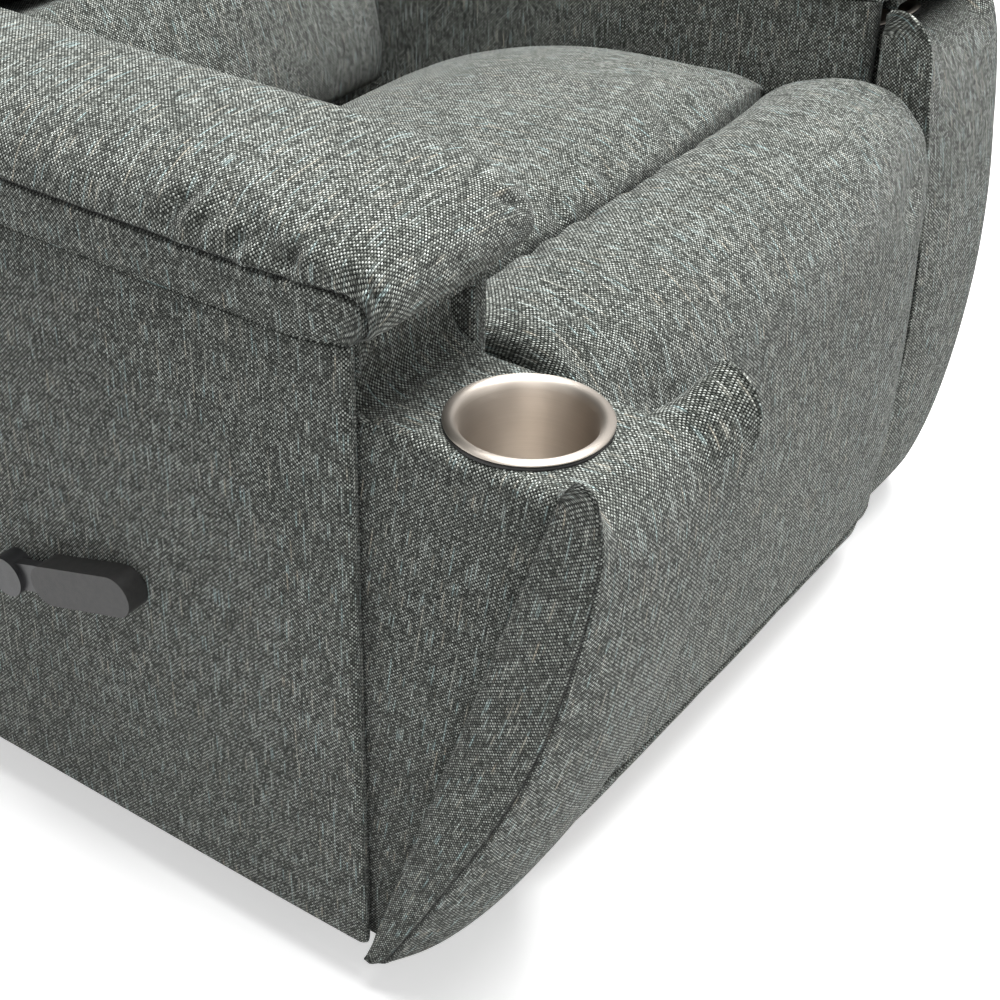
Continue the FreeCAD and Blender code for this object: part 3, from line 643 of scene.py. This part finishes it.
# Heights on a board as shares of its own height, and how far its edge is tucked in there, in millimetres
BOARD_UP = [0, 0.004, 0.012, 0.03, 0.97, 0.988, 0.996, 1]
BOARD_TUCK = [4, 2, 0.7, 0, 0, 0.7, 2, 4]
BOARD_ROWS, BOARD_STEPS = 36, 40


def rounded_ring(x0, x1, y0, y1, radius, puffed):
    """Outline of a board seen from above, in two halves: the puffed face at x1 and the plain one at x0."""
    arc = np.linspace(0, math.pi / 2, 5)
    ys = np.linspace(y0 + radius, y1 - radius, BOARD_STEPS)
    swell = puffed * (1 - np.abs(np.linspace(-1, 1, BOARD_STEPS)) ** 4)
    turn = math.copysign(radius, x1 - x0)
    front = [(x1 - turn + turn * math.sin(a), y0 + radius - radius * math.cos(a)) for a in arc[:-1]]
    back = [(x1 - turn + turn * math.cos(a), y1 - radius + radius * math.sin(a)) for a in arc[1:]]
    face = front + [(x1 + s, y) for s, y in zip(swell, ys)] + back
    plain = [(x0 + x1 - x, y) for x, y in face]
    plain[len(front):len(front) + BOARD_STEPS] = [(x0, y) for y in ys]
    return np.array(face), np.array(plain)


def board(name, xs, ys, zs, radius, puffed, side):
    """A board under fabric, with rounded corners and its edges tucked in at top and bottom."""
    (x0, x1), (z0, z1) = xs, zs
    up = np.concatenate([BOARD_UP[:3], np.linspace(BOARD_UP[3], BOARD_UP[4], BOARD_ROWS), BOARD_UP[5:]])
    tuck = np.interp(up, BOARD_UP, BOARD_TUCK)
    centre = (x0 + x1) / 2
    sheets = []
    for line in rounded_ring(x0, x1, *ys, radius, puffed):
        x = centre + (line[:, 0] - centre)[None] * (1 - tuck[:, None] / (x1 - x0))
        sheets.append(grid(x, line[:, 1][None], z0 + (z1 - z0) * up[:, None]))
    caps = [np.stack([sheets[0][k], sheets[1][k]], 0) for k in (0, -1)]
    ends = [np.stack([sheets[0][:, k], sheets[1][:, k]], 1) for k in (0, -1)]
    return piece(name, laid([*sheets, *caps, *ends], 0.13, 0.2), side, TWEED)


for arm, side in SIDES:
    cover = board(f"arm_{arm}_outer_cover", (441.0, 454.0), (-335.0, 325.0), ARM_Z, 5.5, 2.0, side)
    finish_piece(cover, "rocking_frame", "tweed", f"arm_{arm}_outer_panel")
    cover = board(f"arm_{arm}_inner_cover", (319.0, 286.5), (-328.0, 325.0), ARM_Z, 11.0, -1.0, side)
    # A groove with painted shadow for the deep slot beside the bin, and a seam at the front edge with painted
    # shade in its groove
    opening_slot_shadow = [(side * 315, -325, z) for z in (470, 500, 530, 566)]
    front_seam = [(side * 289, -326, z) for z in (300, 400, 500, 566)]
    crease(cover, opening_slot_shadow, depth=4.0, width=4.5, ridge=0.0, fade=0.0, dark=0.6)
    crease(cover, front_seam, depth=1.5, width=2.0, ridge=0.0, fade=0.05, dark=0.45)
    finish_piece(cover, "rocking_frame", "tweed", f"arm_{arm}_inner_panel")


# Seat and chaise

def straight(s, t):
    return 0.0


def seam_bow(run):
    """The seam between seat and chaise bows forward in the middle; the bow dies out over run of the face."""
    return lambda s, t: 40.0 * s ** 2 * np.clip(1 - t / run, 0, 1)


def cushion(name, mid, edge, rear, half, place, rows=72, cols=44, flat=0.45, bow=straight):
    """A padded block: its face follows mid along the middle and edge along both sides, and rear closes it."""
    wall_rows, end_rows = 9, 4
    t = np.linspace(0, 1, rows)
    mid, edge, rear = track(mid, t), track(edge, t), track(rear, t)
    turn = np.linspace(-1, 1, cols)[None] * math.pi / 2
    s = signed_power(np.sin(turn), 0.8)
    plateau = np.abs(np.cos(turn)) ** flat
    x = half * s
    a = edge[:, :1] + (mid[:, :1] - edge[:, :1]) * plateau + bow(s, t[:, None])
    b = edge[:, 1:] + (mid[:, 1:] - edge[:, 1:]) * plateau
    face = place(x, a, b)
    walls = []
    for k in (0, -1):
        rear_line = place(x[:, k], rear[:, 0] + bow(s[:, k], t), rear[:, 1])
        walls.append(np.swapaxes(between(face[:, k], rear_line, wall_rows), 0, 1))
    share = (s[:, :, None] + 1) / 2
    back = walls[0][:, -1:] * (1 - share) + walls[1][:, -1:] * share
    first, last = between(face[0], back[0], end_rows), between(face[-1], back[-1], end_rows)
    return piece(name, laid([face, *walls, back, first, last], 0.31, 0.17), 1, TWEED)


SEAT_HALF = 282.0
SEAT_MID = [(-264, 372), (-268, 440), (-271, 484), (-258, 499), (-228, 505), (-170, 503), (-110, 497),
            (-50, 486), (10, 469), (60, 450), (104, 428), (130, 406), (138, 382), (136, 362)]
SEAT_EDGE = [(-260, 372), (-262, 420), (-262, 450), (-250, 458), (-220, 463), (-170, 462), (-110, 454),
             (-50, 443), (10, 428), (60, 412), (104, 394), (130, 380), (136, 370), (136, 360)]
SEAT_UNDER = [(-258, 353), (-250, 353), (-240, 353), (-225, 353), (-200, 353), (-160, 353), (-110, 353),
              (-50, 353), (10, 353), (60, 353), (104, 353), (122, 353), (130, 353), (134, 353)]
SEAT_FOLDS = (
    ([(-34, -270, 486), (-24, -256, 498), (-10, -236, 503)], 4.0, 5.0),
    ([(-100, -268, 486), (-92, -254, 498), (-80, -236, 503)], 4.0, 5.0),
    ([(-150, -262, 484), (-142, -248, 496), (-134, -232, 500)], 3.0, 5.0),
    ([(4, -270, 487), (12, -254, 498), (24, -238, 503)], 3.0, 4.5),
    ([(70, -266, 487), (80, -250, 498), (96, -236, 502)], 2.4, 5.0),
    ([(-60, -268, 487), (-56, -258, 497), (-50, -248, 501)], 2.0, 4.0),
)
seat = cushion("seat_cushion_cover", SEAT_MID, SEAT_EDGE, SEAT_UNDER, SEAT_HALF, grid, bow=seam_bow(0.35))
puff(seat, 10.0)
refine(seat)
narrow(seat, -284, 284)
# Folds along the seam to the chaise, with painted shade in them
press_folds(seat, SEAT_FOLDS, dark=0.3, deeper=1.7, wider=1.2)
finish_piece(seat, "seat", "tweed", "seat_cushion", fill=0.75)

CHAISE_MID = [(-273, 470), (-273, 484), (-284, 501), (-308, 513), (-342, 518), (-376, 513), (-403, 494),
              (-417, 465), (-422, 430), (-423, 380), (-422, 300), (-419, 220), (-414, 150), (-409, 108),
              (-404, 90), (-405, 74), (-399, 54), (-391, 48)]
CHAISE_EDGE = [(-264, 440), (-264, 452), (-274, 466), (-298, 476), (-334, 481), (-362, 477), (-382, 463),
               (-393, 443), (-397, 418), (-398, 375), (-398, 300), (-396, 220), (-393, 150), (-391, 108),
               (-389, 90), (-389, 74), (-387, 56), (-385, 48)]
CHAISE_REAR = [(-260, 436), (-262, 436), (-270, 440), (-290, 446), (-322, 450), (-345, 446), (-360, 436),
               (-369, 420), (-375, 396), (-375, 350), (-375, 300), (-375, 220), (-375, 150), (-375, 108),
               (-375, 90), (-375, 74), (-375, 56), (-376, 48)]
CHAISE_FOLDS = (
    ([(-32, -272, 486), (-42, -290, 503), (-48, -318, 512)], 3.6, 5.5),
    ([(-98, -272, 486), (-103, -288, 502), (-112, -312, 511)], 3.6, 5.5),
    ([(6, -272, 487), (4, -288, 503), (0, -308, 511)], 2.6, 5.0),
    ([(72, -266, 487), (66, -284, 503), (58, -306, 511)], 2.4, 5.0),
    ([(-160, -266, 484), (-166, -282, 498), (-176, -304, 506)], 3.0, 5.5),
)
CHAISE_SEAM = [(x, -404, 88) for x in range(-276, 277, 12)]
chaise = cushion("chaise_cover", CHAISE_MID, CHAISE_EDGE, CHAISE_REAR, SEAT_HALF, grid, rows=104,
                 bow=seam_bow(0.16))
puff(chaise, 8.0)
refine(chaise)
narrow(chaise, -281.5, 281.5)
# Folds along the seam to the seat, and the hem seam low on the front, each with painted shade in its groove
press_folds(chaise, CHAISE_FOLDS, dark=0.3, deeper=1.7, wider=1.2)
crease(chaise, CHAISE_SEAM, depth=2.6, width=2.4, ridge=0.3, fade=0.0, dark=0.65)
smoothed(chaise)
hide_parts("chaise_top", "chaise_nose", "footrest_pad")
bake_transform(chaise)


# Back

BACK_HALF, BACK_REAR = 263.0, -103


def back_cushion(name, v0, v1, node, bulge):
    """A cushion of the back from v0 to v1 up it, standing out to bulge in its middle."""
    low, middle, high = (v0 + share * (v1 - v0) for share in (0.3, 0.5, 0.7))
    mid = [(v0 + 4, -96), (v0 + 1, -40), (v0 + 6, 6), (v0 + 26, bulge - 12), (low, bulge - 2),
           (middle, bulge), (high, bulge - 3), (v1 - 24, bulge - 13), (v1 - 5, 4), (v1 - 1, -40), (v1 - 4, -96)]
    edge = [(v0, -98), (v0, -60), (v0 + 7, -34), (v0 + 26, -22), (low, -16),
            (middle, -14), (high, -16), (v1 - 24, -22), (v1 - 7, -34), (v1, -60), (v1, -98)]
    rear = [(v, BACK_REAR) for v in (v0, v0, v0 + 9, v0 + 28, low, middle, high, v1 - 28, v1 - 9, v1, v1)]
    made = cushion(name, mid, edge, rear, BACK_HALF, on_back, rows=44, cols=34)
    puff(made, 10.0)
    finish_piece(made, "backrest", "tweed", node, fill=0.8)


back_cushion("lumbar_cushion_cover", 80, 290.2, "lumbar_cushion", 36)
back_cushion("middle_cushion_cover", 289.8, 529.2, "middle_cushion", 34)
back_cushion("head_cushion_cover", 528.8, 748, "head_cushion", 36)

BODY_HALF = 262.0
BODY_MID = [(-44, -106), (-46, -136), (-42, -158), (-22, -166), (120, -168), (300, -168), (480, -168),
            (640, -168), (730, -165), (750, -156), (754, -136), (751, -98)]
BODY_EDGE = [(-40, -106), (-42, -132), (-38, -148), (-22, -153), (120, -154), (300, -154), (480, -154),
             (640, -154), (722, -152), (742, -146), (746, -132), (744, -98)]
BODY_FRONT = [(-40, -105), (-38, -105), (-34, -105), (-22, -104), (120, -97), (300, -97), (480, -97),
              (640, -97), (722, -97), (738, -97), (742, -97), (744, -97)]
body = cushion("back_body_cover", BODY_MID, BODY_EDGE, BODY_FRONT, BODY_HALF, on_back, flat=0.3)
finish_piece(body, "backrest", "tweed", "back_shell", "back_posts", "back_rungs", fill=0.3)


# Arm front, rear, top and sill

def block(name, xs, ys, zs, bevel, side=1):
    """A board with eased edges under fabric."""
    x, y, z = (a + (b - a) * np.linspace(0, 1, 9) for a, b in (xs, ys, zs))
    sheets = [grid(x[None], y[:, None], end) for end in zs]
    sheets += [grid(end, y[None], z[:, None]) for end in xs]
    sheets += [grid(x[None], end, z[:, None]) for end in ys]
    made = piece(name, laid(sheets, 0.21, 0.4), side, TWEED)
    eased = made.modifiers.new("eased", "BEVEL")
    eased.width = bevel * MM
    eased.segments = 3
    eased.limit_method = "ANGLE"
    return made


RAIL_OUT, RAIL_OUT_RADIUS = 440.7, 14
RAIL_IN, RAIL_IN_RADIUS = 319.3, 5
RAIL_LOW, RAIL_TOP = 557.0, 566.8

# The rail's section: y, and the height over its lower edge, or None at its top
RAIL_SECTION = ((-334, None), (-336, 3), (-336.5, 0.5), (-334.5, -1.5), (-331, -1.5), (-328, 0), (-321, 0),
                (-319.8, 2), (-319.8, None))


def arch_rail(name, side):
    """The rail over the opening, with its rounded corners and a welt along its lower edge."""
    rising, falling = np.linspace(0, math.pi / 2, 9), np.linspace(math.pi / 2, 0, 9)
    x = np.concatenate([RAIL_OUT - RAIL_OUT_RADIUS * (1 - np.cos(rising)), np.linspace(420, 330, 12),
                        RAIL_IN + RAIL_IN_RADIUS * (1 - np.cos(falling))])
    drop = np.concatenate([RAIL_OUT_RADIUS * (1 - np.sin(rising)), np.zeros(12),
                           RAIL_IN_RADIUS * (1 - np.sin(falling))])
    low = RAIL_LOW - drop
    ring = [grid(x, y, RAIL_TOP if lift is None else low + lift) for y, lift in RAIL_SECTION]
    p = np.stack(ring + [ring[0]], 0)
    ends = [np.stack([p[:5, k], p[8:3:-1, k]], 0) for k in (0, -1)]
    return piece(name, laid([p, *ends]), side, TWEED)


for arm, side in SIDES:
    rail = arch_rail(f"arm_{arm}_opening_rail", side)
    finish_piece(rail, "rocking_frame", "tweed", f"arm_{arm}_frame", smooth=False)
    rear = board(f"arm_{arm}_rear_cover", (312.0, 447.0), (305.0, 322.5), (49.0, 566.6), 5.0, 0.0, side)
    finish_piece(rear, "rocking_frame", "tweed")
    sill = block(f"arm_{arm}_sill_cover", (327.5, 432.5), (-335, -317), (61, 97), 3, side)
    finish_piece(sill, "rocking_frame", "tweed", smooth=False)
    lid = block(f"arm_{arm}_top_cover", (313, 446), (-225, 320), (557, 566.8), 2, side)
    finish_piece(lid, "rocking_frame", "tweed", smooth=False)

apron = block("rear_apron_cover", (-285, 285), (297, 315), (48, 175), 4)
finish_piece(apron, "rocking_frame", "tweed", "rear_apron", smooth=False)


# Cup bins, built open on the right arm

PAD_X, PAD_HALF, PAD_FOOT, PAD_REAR = 367.0, 84.0, -18, 2.6
PAD_MID = [(-18, 9), (-21, 18), (-14, 32), (8, 46), (58, 61), (118, 72), (180, 78.5), (240, 81), (300, 79),
           (350, 73.5), (400, 64), (436, 54.5), (458, 45), (473, 34), (481, 21.5), (483.6, 11), (482.6, 4),
           (480, -2), (477.6, -8.5)]
PAD_OUT = [(-18, 9), (-17, 13), (-10, 18), (8, 22), (60, 31), (120, 40), (180, 49), (240, 56), (300, 58.5),
           (350, 57), (400, 53), (445, 47), (472, 41), (491, 34), (506, 26), (510.5, 17), (508.5, 9),
           (499, 5.2), (487, 4.5)]
PAD_IN = [(-18, 9), (-20, 18), (-14, 29), (8, 38), (58, 51), (118, 61), (180, 68), (240, 71), (300, 69),
          (350, 65), (400, 59.5), (445, 54.5), (480, 51), (499, 44), (511, 29), (513.5, 17), (511, 8.5),
          (501, 5), (488, 4.5)]


def bin_pad(name):
    """The padded front: full in the middle, thin at its edges, with an ear at each upper corner."""
    rows, cols, wall_rows, end_rows = 90, 46, 11, 3
    held_above = 470
    t = np.linspace(0, 1, rows)
    mid, out, inn = track(PAD_MID, t), track(PAD_OUT, t), track(PAD_IN, t)
    s = signed_power(np.linspace(-1, 1, cols), 0.8)

    # Share of the outer and inner edge lines in the face, low on the pad and between the ears at its top
    top = np.clip((t - 0.60) / 0.18, 0, 1)[:, None]
    top = top * top * (3 - 2 * top)
    low_out = np.where(s < 0, np.abs(s) ** 3.2, 0)[None]
    low_in = np.where(s > 0, np.abs(s) ** 3.2, 0)[None]
    top_out = np.clip((-s - 0.72) / 0.28, 0, 1)[None] ** 1.3
    top_in = np.clip((s - 0.48) / 0.52, 0, 1)[None] ** 1.15
    w_out = low_out * (1 - top) + top_out * top
    w_in = low_in * (1 - top) + top_in * top
    v, n = (mid[:, k:k + 1] * (1 - w_out - w_in) + out[:, k:k + 1] * w_out + inn[:, k:k + 1] * w_in
            for k in (0, 1))
    corner = np.clip((t - 0.86) / 0.14, 0, 1)[:, None] ** 2.5
    foot = np.clip((0.1 - t) / 0.1, 0, 1)[:, None] ** 2
    half = PAD_HALF - 8.0 * corner * (s[None] > 0) + np.where(s[None] < 0, 3.0, -4.0) * foot
    x = PAD_X - half * s[None]
    face = on_board(x, v, n)

    # Walls and rear, with room for the hinge's knuckles
    out, inn = (np.minimum(w[:, :1], w[-1, 0]) for w in (out, inn))
    walls = []
    for k, w in ((0, out), (-1, inn)):
        rear_line = on_board(x[:, k], w[:, 0], PAD_REAR)
        walls.append(np.swapaxes(between(face[:, k], rear_line, wall_rows, 1.6), 0, 1))
    share = (s + 1) / 2
    end = out[-1, 0] * (1 - share) + inn[-1, 0] * share
    v_edge = out[:, :1] * (1 - share) + inn[:, :1] * share
    v_back = PAD_FOOT + (v_edge - PAD_FOOT) * (v[-1:] - PAD_FOOT) / (end - PAD_FOOT)
    knuckle_room = 3.0 * np.exp(-(v_back / 10) ** 2) * (np.abs(s) < 0.99)
    back = on_board(x, v_back, PAD_REAR + knuckle_room)
    first, last = between(face[0], back[0], end_rows), between(face[-1], back[-1], end_rows)
    made = piece(name, laid([face, *walls, back, first, last], 0.23, 0.11), RIGHT, TWEED)
    puff(made, 4.0, 2.5, also_held=lambda p: p[:, 2] > held_above)
    refine(made)
    narrow(made, -456, -283.5)
    outer_seam, inner_edge = (face[:-3, k] * MIRROR for k in (0, -1))
    # The outer seam gets painted shade in its groove; the inner edge is a raised welt without paint
    crease(made, outer_seam, depth=2.2, width=1.6, ridge=0.3, fade=0.02, dark=0.85)
    crease(made, inner_edge, depth=-1.8, width=1.6, ridge=0.0, fade=0.02, dark=0.0)
    return made


def pad_plane(z):
    """The y of the pad's rear face at height z."""
    return HINGE_Y - PAD_REAR / math.cos(OPEN) - (z - HINGE_Z) * math.tan(OPEN)


TUB_OUT, TUB_IN, TUB_REAR, TUB_RADIUS = 438.7, 321.3, -307.5, 9.0
TUB_FLAP_Z, TUB_FLAP_REAR, TUB_FLAP_END = 46, -324.0, 118
TUB_HOLE = 47.0


def bin_tub(name):
    """Fabric over the bin's walls and shelf, with the hole for the cup."""
    wall_rows, steps, front_steps = 32, 24, 16
    quarter = np.linspace(0, math.pi / 2, 7)[1:]
    wall_top = SHELF_Z - TUB_RADIUS
    z = np.concatenate([np.linspace(TUB_FLAP_Z, wall_top, wall_rows), wall_top + TUB_RADIUS * np.sin(quarter)])
    inset = np.concatenate([np.zeros(wall_rows), TUB_RADIUS * (1 - np.cos(quarter))])
    along = np.linspace(0, 1, steps)
    back = np.interp(z, [TUB_FLAP_Z, TUB_FLAP_END], [TUB_FLAP_REAR, TUB_REAR])[:, None]
    y = pad_plane(z)[:, None] * (1 - along) + back * along
    outer = grid(TUB_OUT - inset[:, None], y, z[:, None])
    inner = grid(TUB_IN + 0.5 * inset[:, None], y, z[:, None])
    front_x = np.linspace(outer[-1, 0, 0], inner[-1, 0, 0], front_steps)
    line_front = grid(front_x, outer[-1, 0, 1], SHELF_Z)
    line_rear = grid(front_x, TUB_REAR, SHELF_Z)
    loop = np.concatenate([outer[-1][::-1], line_front[1:], inner[-1][1:], line_rear[::-1][1:]])
    middle = np.array([CUP_X, CUP_Y, SHELF_Z])
    ray = loop - middle
    angle = np.arctan2(ray[:, 1], ray[:, 0])
    hole = middle + TUB_HOLE * grid(np.cos(angle), np.sin(angle), 0.0)
    top = between(hole, loop, 8)
    flat_uv = np.stack([top[..., 0], top[..., 1]], -1) * MM
    made = piece(name, [(outer, cloth_uv(outer)), (inner, cloth_uv(inner, True, (0.6, 0.2))), (top, flat_uv)],
                 RIGHT, TWEED)
    thick = made.modifiers.new("thick", "SOLIDIFY")
    thick.thickness = 0.004
    thick.offset = -1
    return made


UPSTAND_HALF, UPSTAND_STEPS, UPSTAND_COLS = 58.6, 56, 26
UPSTAND = [(-312, 500), (-330, 504), (-341, SHELF_Z + 0.5), (-334, 512.5), (-325.5, 518), (-320.5, 528),
           (-318.8, 540), (-318.2, 552), (-316.8, 559), (-313.0, 562.5), (-309, 559), (-307.4, 550),
           (-307.4, 525), (-308, 506), (-312, 500)]


def bin_upstand(name):
    """The padded stop behind the cup, flared into the shelf."""
    line = even(UPSTAND, UPSTAND_STEPS)
    across = np.linspace(-1, 1, UPSTAND_COLS)
    end = np.clip((np.abs(across) - 0.80) / 0.20, 0, 1)
    lower = 3.0 * (1 - np.sqrt(np.clip(1 - end ** 2, 0, 1)))
    lift = np.clip((line[:, 1] - 520) / 40, 0, 1)[:, None]
    p = grid(CUP_X - UPSTAND_HALF * across[None], line[:, :1], line[:, 1:] - lift * lower[None])
    half = UPSTAND_STEPS // 2
    caps = [np.stack([p[:half, k], p[:half - 1:-1, k]], 0) for k in (0, -1)]
    return piece(name, laid([p, *caps]), RIGHT, TWEED)


# The cup and its ring lie a little before the hole's middle and a little lower than their profiles
CUP_FORWARD, CUP_SINK, CUP_STEPS = 1.5, 1.2, 96
CUP_ROUND = 0.044
CUP_RIM = [(45.6, 511.5), (46.2, 513.4), (50, 513.6), (53.6, 513.8), (54.6, 514.7), (54.0, 515.7), (52.0, 516.6),
           (49.0, 516.4), (46.4, 514.6), (44.9, 511.0), (44.2, 506)]
CUP = even(CUP_RIM, 44).tolist() + [
    (43.8, 498), (43.2, 484), (42.6, 470), (42.0, 461), (41.2, 456.6), (39.4, 454.4), (36.0, 453.8),
    (24.0, 453.8), (23.0, 454.4), (21.5, 454.6), (10, 454.6), (0, 454.6), (0, 452.4), (24, 452.2),
    (38, 452.4), (41.4, 453.4), (42.8, 457), (43.4, 468), (44.4, 488), (45.2, 505), (45.6, 511.5)]
GASKET = [(47.2, 510.1), (53.0, 510.1), (54.2, 510.8), (54.6, 511.8), (54.2, 513.2), (52.5, 513.7),
          (48, 513.6), (47.2, 512.6), (47.2, 510.1)]


def lathe(name, profile, material):
    """A turned piece about the cup's axis."""
    line = np.asarray(profile, float)
    angle = np.linspace(0, 2 * math.pi, CUP_STEPS + 1)
    p = grid(CUP_X + line[:, :1] * np.cos(angle), CUP_Y - CUP_FORWARD + line[:, :1] * np.sin(angle),
             line[:, 1:] - CUP_SINK)
    run = np.concatenate([[0], np.cumsum(np.linalg.norm(np.diff(line, axis=0), axis=1))]) * MM
    uv = np.stack(np.broadcast_arrays(angle[None] * CUP_ROUND, run[:, None]), -1)
    return piece(name, [(p, uv)], RIGHT, material)


BIN_PIECES = (
    (bin_pad("bin_right_pad_cover"), "tweed", ("pad",), 0.7),
    (bin_tub("bin_right_tub_cover"), "tweed", ("carcass", "shelf"), None),
    (bin_upstand("bin_right_upstand_cover"), "tweed", (), None),
    (lathe("bin_right_cup_spun", CUP, STEEL), "stainless_cup", ("cup",), None),
    (lathe("bin_right_gasket_ring", GASKET, RUBBER), "black_plastic", ("cup_gasket",), None),
)
for made, finish, stood_for, fill in BIN_PIECES:
    other = twin(made, made.name.replace("right", "left"), shut)
    finish_piece(made, "bin_right", finish, *[f"bin_right_{part}" for part in stood_for], fill=fill)
    finish_piece(other, "bin_left", finish, *[f"bin_left_{part}" for part in stood_for], fill=fill)


# Rocker springs

COIL_X, COIL_Y, COIL_Z = 110.0, (-200.0, 154.0), (75.0, 150.0)
COIL_RADIUS, COIL_WIRE, COIL_TURNS, COIL_STEPS, WIRE_STEPS = 16.0, 2.5, 5, 20, 10


def coil_springs(name):
    """Four upright coils of wire, two on each side."""
    turn = np.linspace(0, COIL_TURNS * 2 * math.pi, COIL_TURNS * COIL_STEPS + 1)
    bead = np.linspace(0, 2 * math.pi, WIRE_STEPS + 1)[None]
    level = COIL_Z[0] + COIL_WIRE + (COIL_Z[1] - COIL_Z[0] - 2 * COIL_WIRE) * turn / turn[-1]
    ring = COIL_RADIUS + COIL_WIRE * np.cos(bead)
    sheets = []
    for x in (-COIL_X, COIL_X):
        for y in COIL_Y:
            p = grid(x + ring * np.cos(turn)[:, None], y + ring * np.sin(turn)[:, None],
                     level[:, None] + COIL_WIRE * np.sin(bead))
            sheets.append(p)
            for k in (0, -1):
                middle = np.repeat(p[k, :-1].mean(axis=0)[None], bead.size, axis=0)
                sheets.append(between(p[k], middle, 3))
    return piece(name, laid(sheets), 1, SPRING)


coils = coil_springs("rocker_spring_coils")
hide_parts("rocker_springs")
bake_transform(coils)


# Camera at the photo's angle

CAMERA_PLACE = (-1.2151, -0.9642, 1.1359)
CAMERA_DOWN, CAMERA_TURN = 34.08, -53.55
camera = bpy.data.cameras.new("camera")
camera.lens = 67.902
camera.sensor_width = 36.0
camera.shift_x = 0.0656
camera.shift_y = -0.0139
camera_object = bpy.data.objects.new("camera", camera)
camera_object.location = CAMERA_PLACE
camera_object.rotation_euler = (math.radians(90 - CAMERA_DOWN), 0, math.radians(CAMERA_TURN))
scene.collection.objects.link(camera_object)
scene.camera = camera_object


# Floor, lamps and surroundings

FLOOR_REACH, FLOOR_GLOW = 14.0, 0.5
SKY_LIGHT = 0.195
WHITE = (1.0, 1.0, 1.0, 1.0)
floor_mesh = bpy.data.meshes.new("floor")
floor_corners = [(x * FLOOR_REACH, y * FLOOR_REACH, 0) for x, y in ((-1, -1), (1, -1), (1, 1), (-1, 1))]
floor_mesh.from_pydata(floor_corners, [], [(0, 1, 2, 3)])
floor = bpy.data.objects.new("floor", floor_mesh)
scene.collection.objects.link(floor)
floor_material, floor_tree, floor_shader = tree("pale_floor")
f = Nodes(floor_tree)
grain = f.noise(f.place(), 300.0, 2.0)
f.put(floor_shader.inputs["Base Color"], f.ramp(grain, (0.0, (0.93, 0.93, 0.93)), (1.0, (0.95, 0.95, 0.95))))
floor_shader.inputs["Roughness"].default_value = 0.9
floor_shader.inputs["Emission Color"].default_value = WHITE
f.put(floor_shader.inputs["Emission Strength"], f.scaled(f.seen(), FLOOR_GLOW))
floor_mesh.materials.append(floor_material)


def softbox(name, place, aim, size, power):
    """A rectangular lamp at place, turned to aim."""
    data = bpy.data.lights.new(name, "AREA")
    data.shape = "RECTANGLE"
    data.size, data.size_y = size
    data.energy = power
    lamp = bpy.data.objects.new(name, data)
    lamp.location = place
    lamp.rotation_euler = (Vector(aim) - Vector(place)).to_track_quat("-Z", "Y").to_euler()
    scene.collection.objects.link(lamp)


softbox("overhead", (0.2, -0.42, 3.0), aim=(0.0, -0.15, 0.4), size=(2.2, 1.8), power=198.0)
softbox("side_fill", (-2.8, -1.7, 1.6), aim=(-0.4, -0.3, 0.45), size=(2.0, 1.2), power=14.0)
softbox("front_fill", (0.2, -3.2, 0.7), aim=(0.0, -0.3, 0.3), size=(2.2, 1.0), power=12.0)

world = bpy.data.worlds.new("studio")
scene.world = world
world.use_nodes = True
world.node_tree.nodes.clear()
w = Nodes(world.node_tree)
background = world.node_tree.nodes.new("ShaderNodeBackground")
background.inputs["Color"].default_value = WHITE
w.put(background.inputs["Strength"], w.scaled(w.seen(), 1 - SKY_LIGHT, SKY_LIGHT))
world_out = world.node_tree.nodes.new("ShaderNodeOutputWorld")
world.node_tree.links.new(background.outputs[0], world_out.inputs[0])

scene.view_settings.view_transform = "Standard"
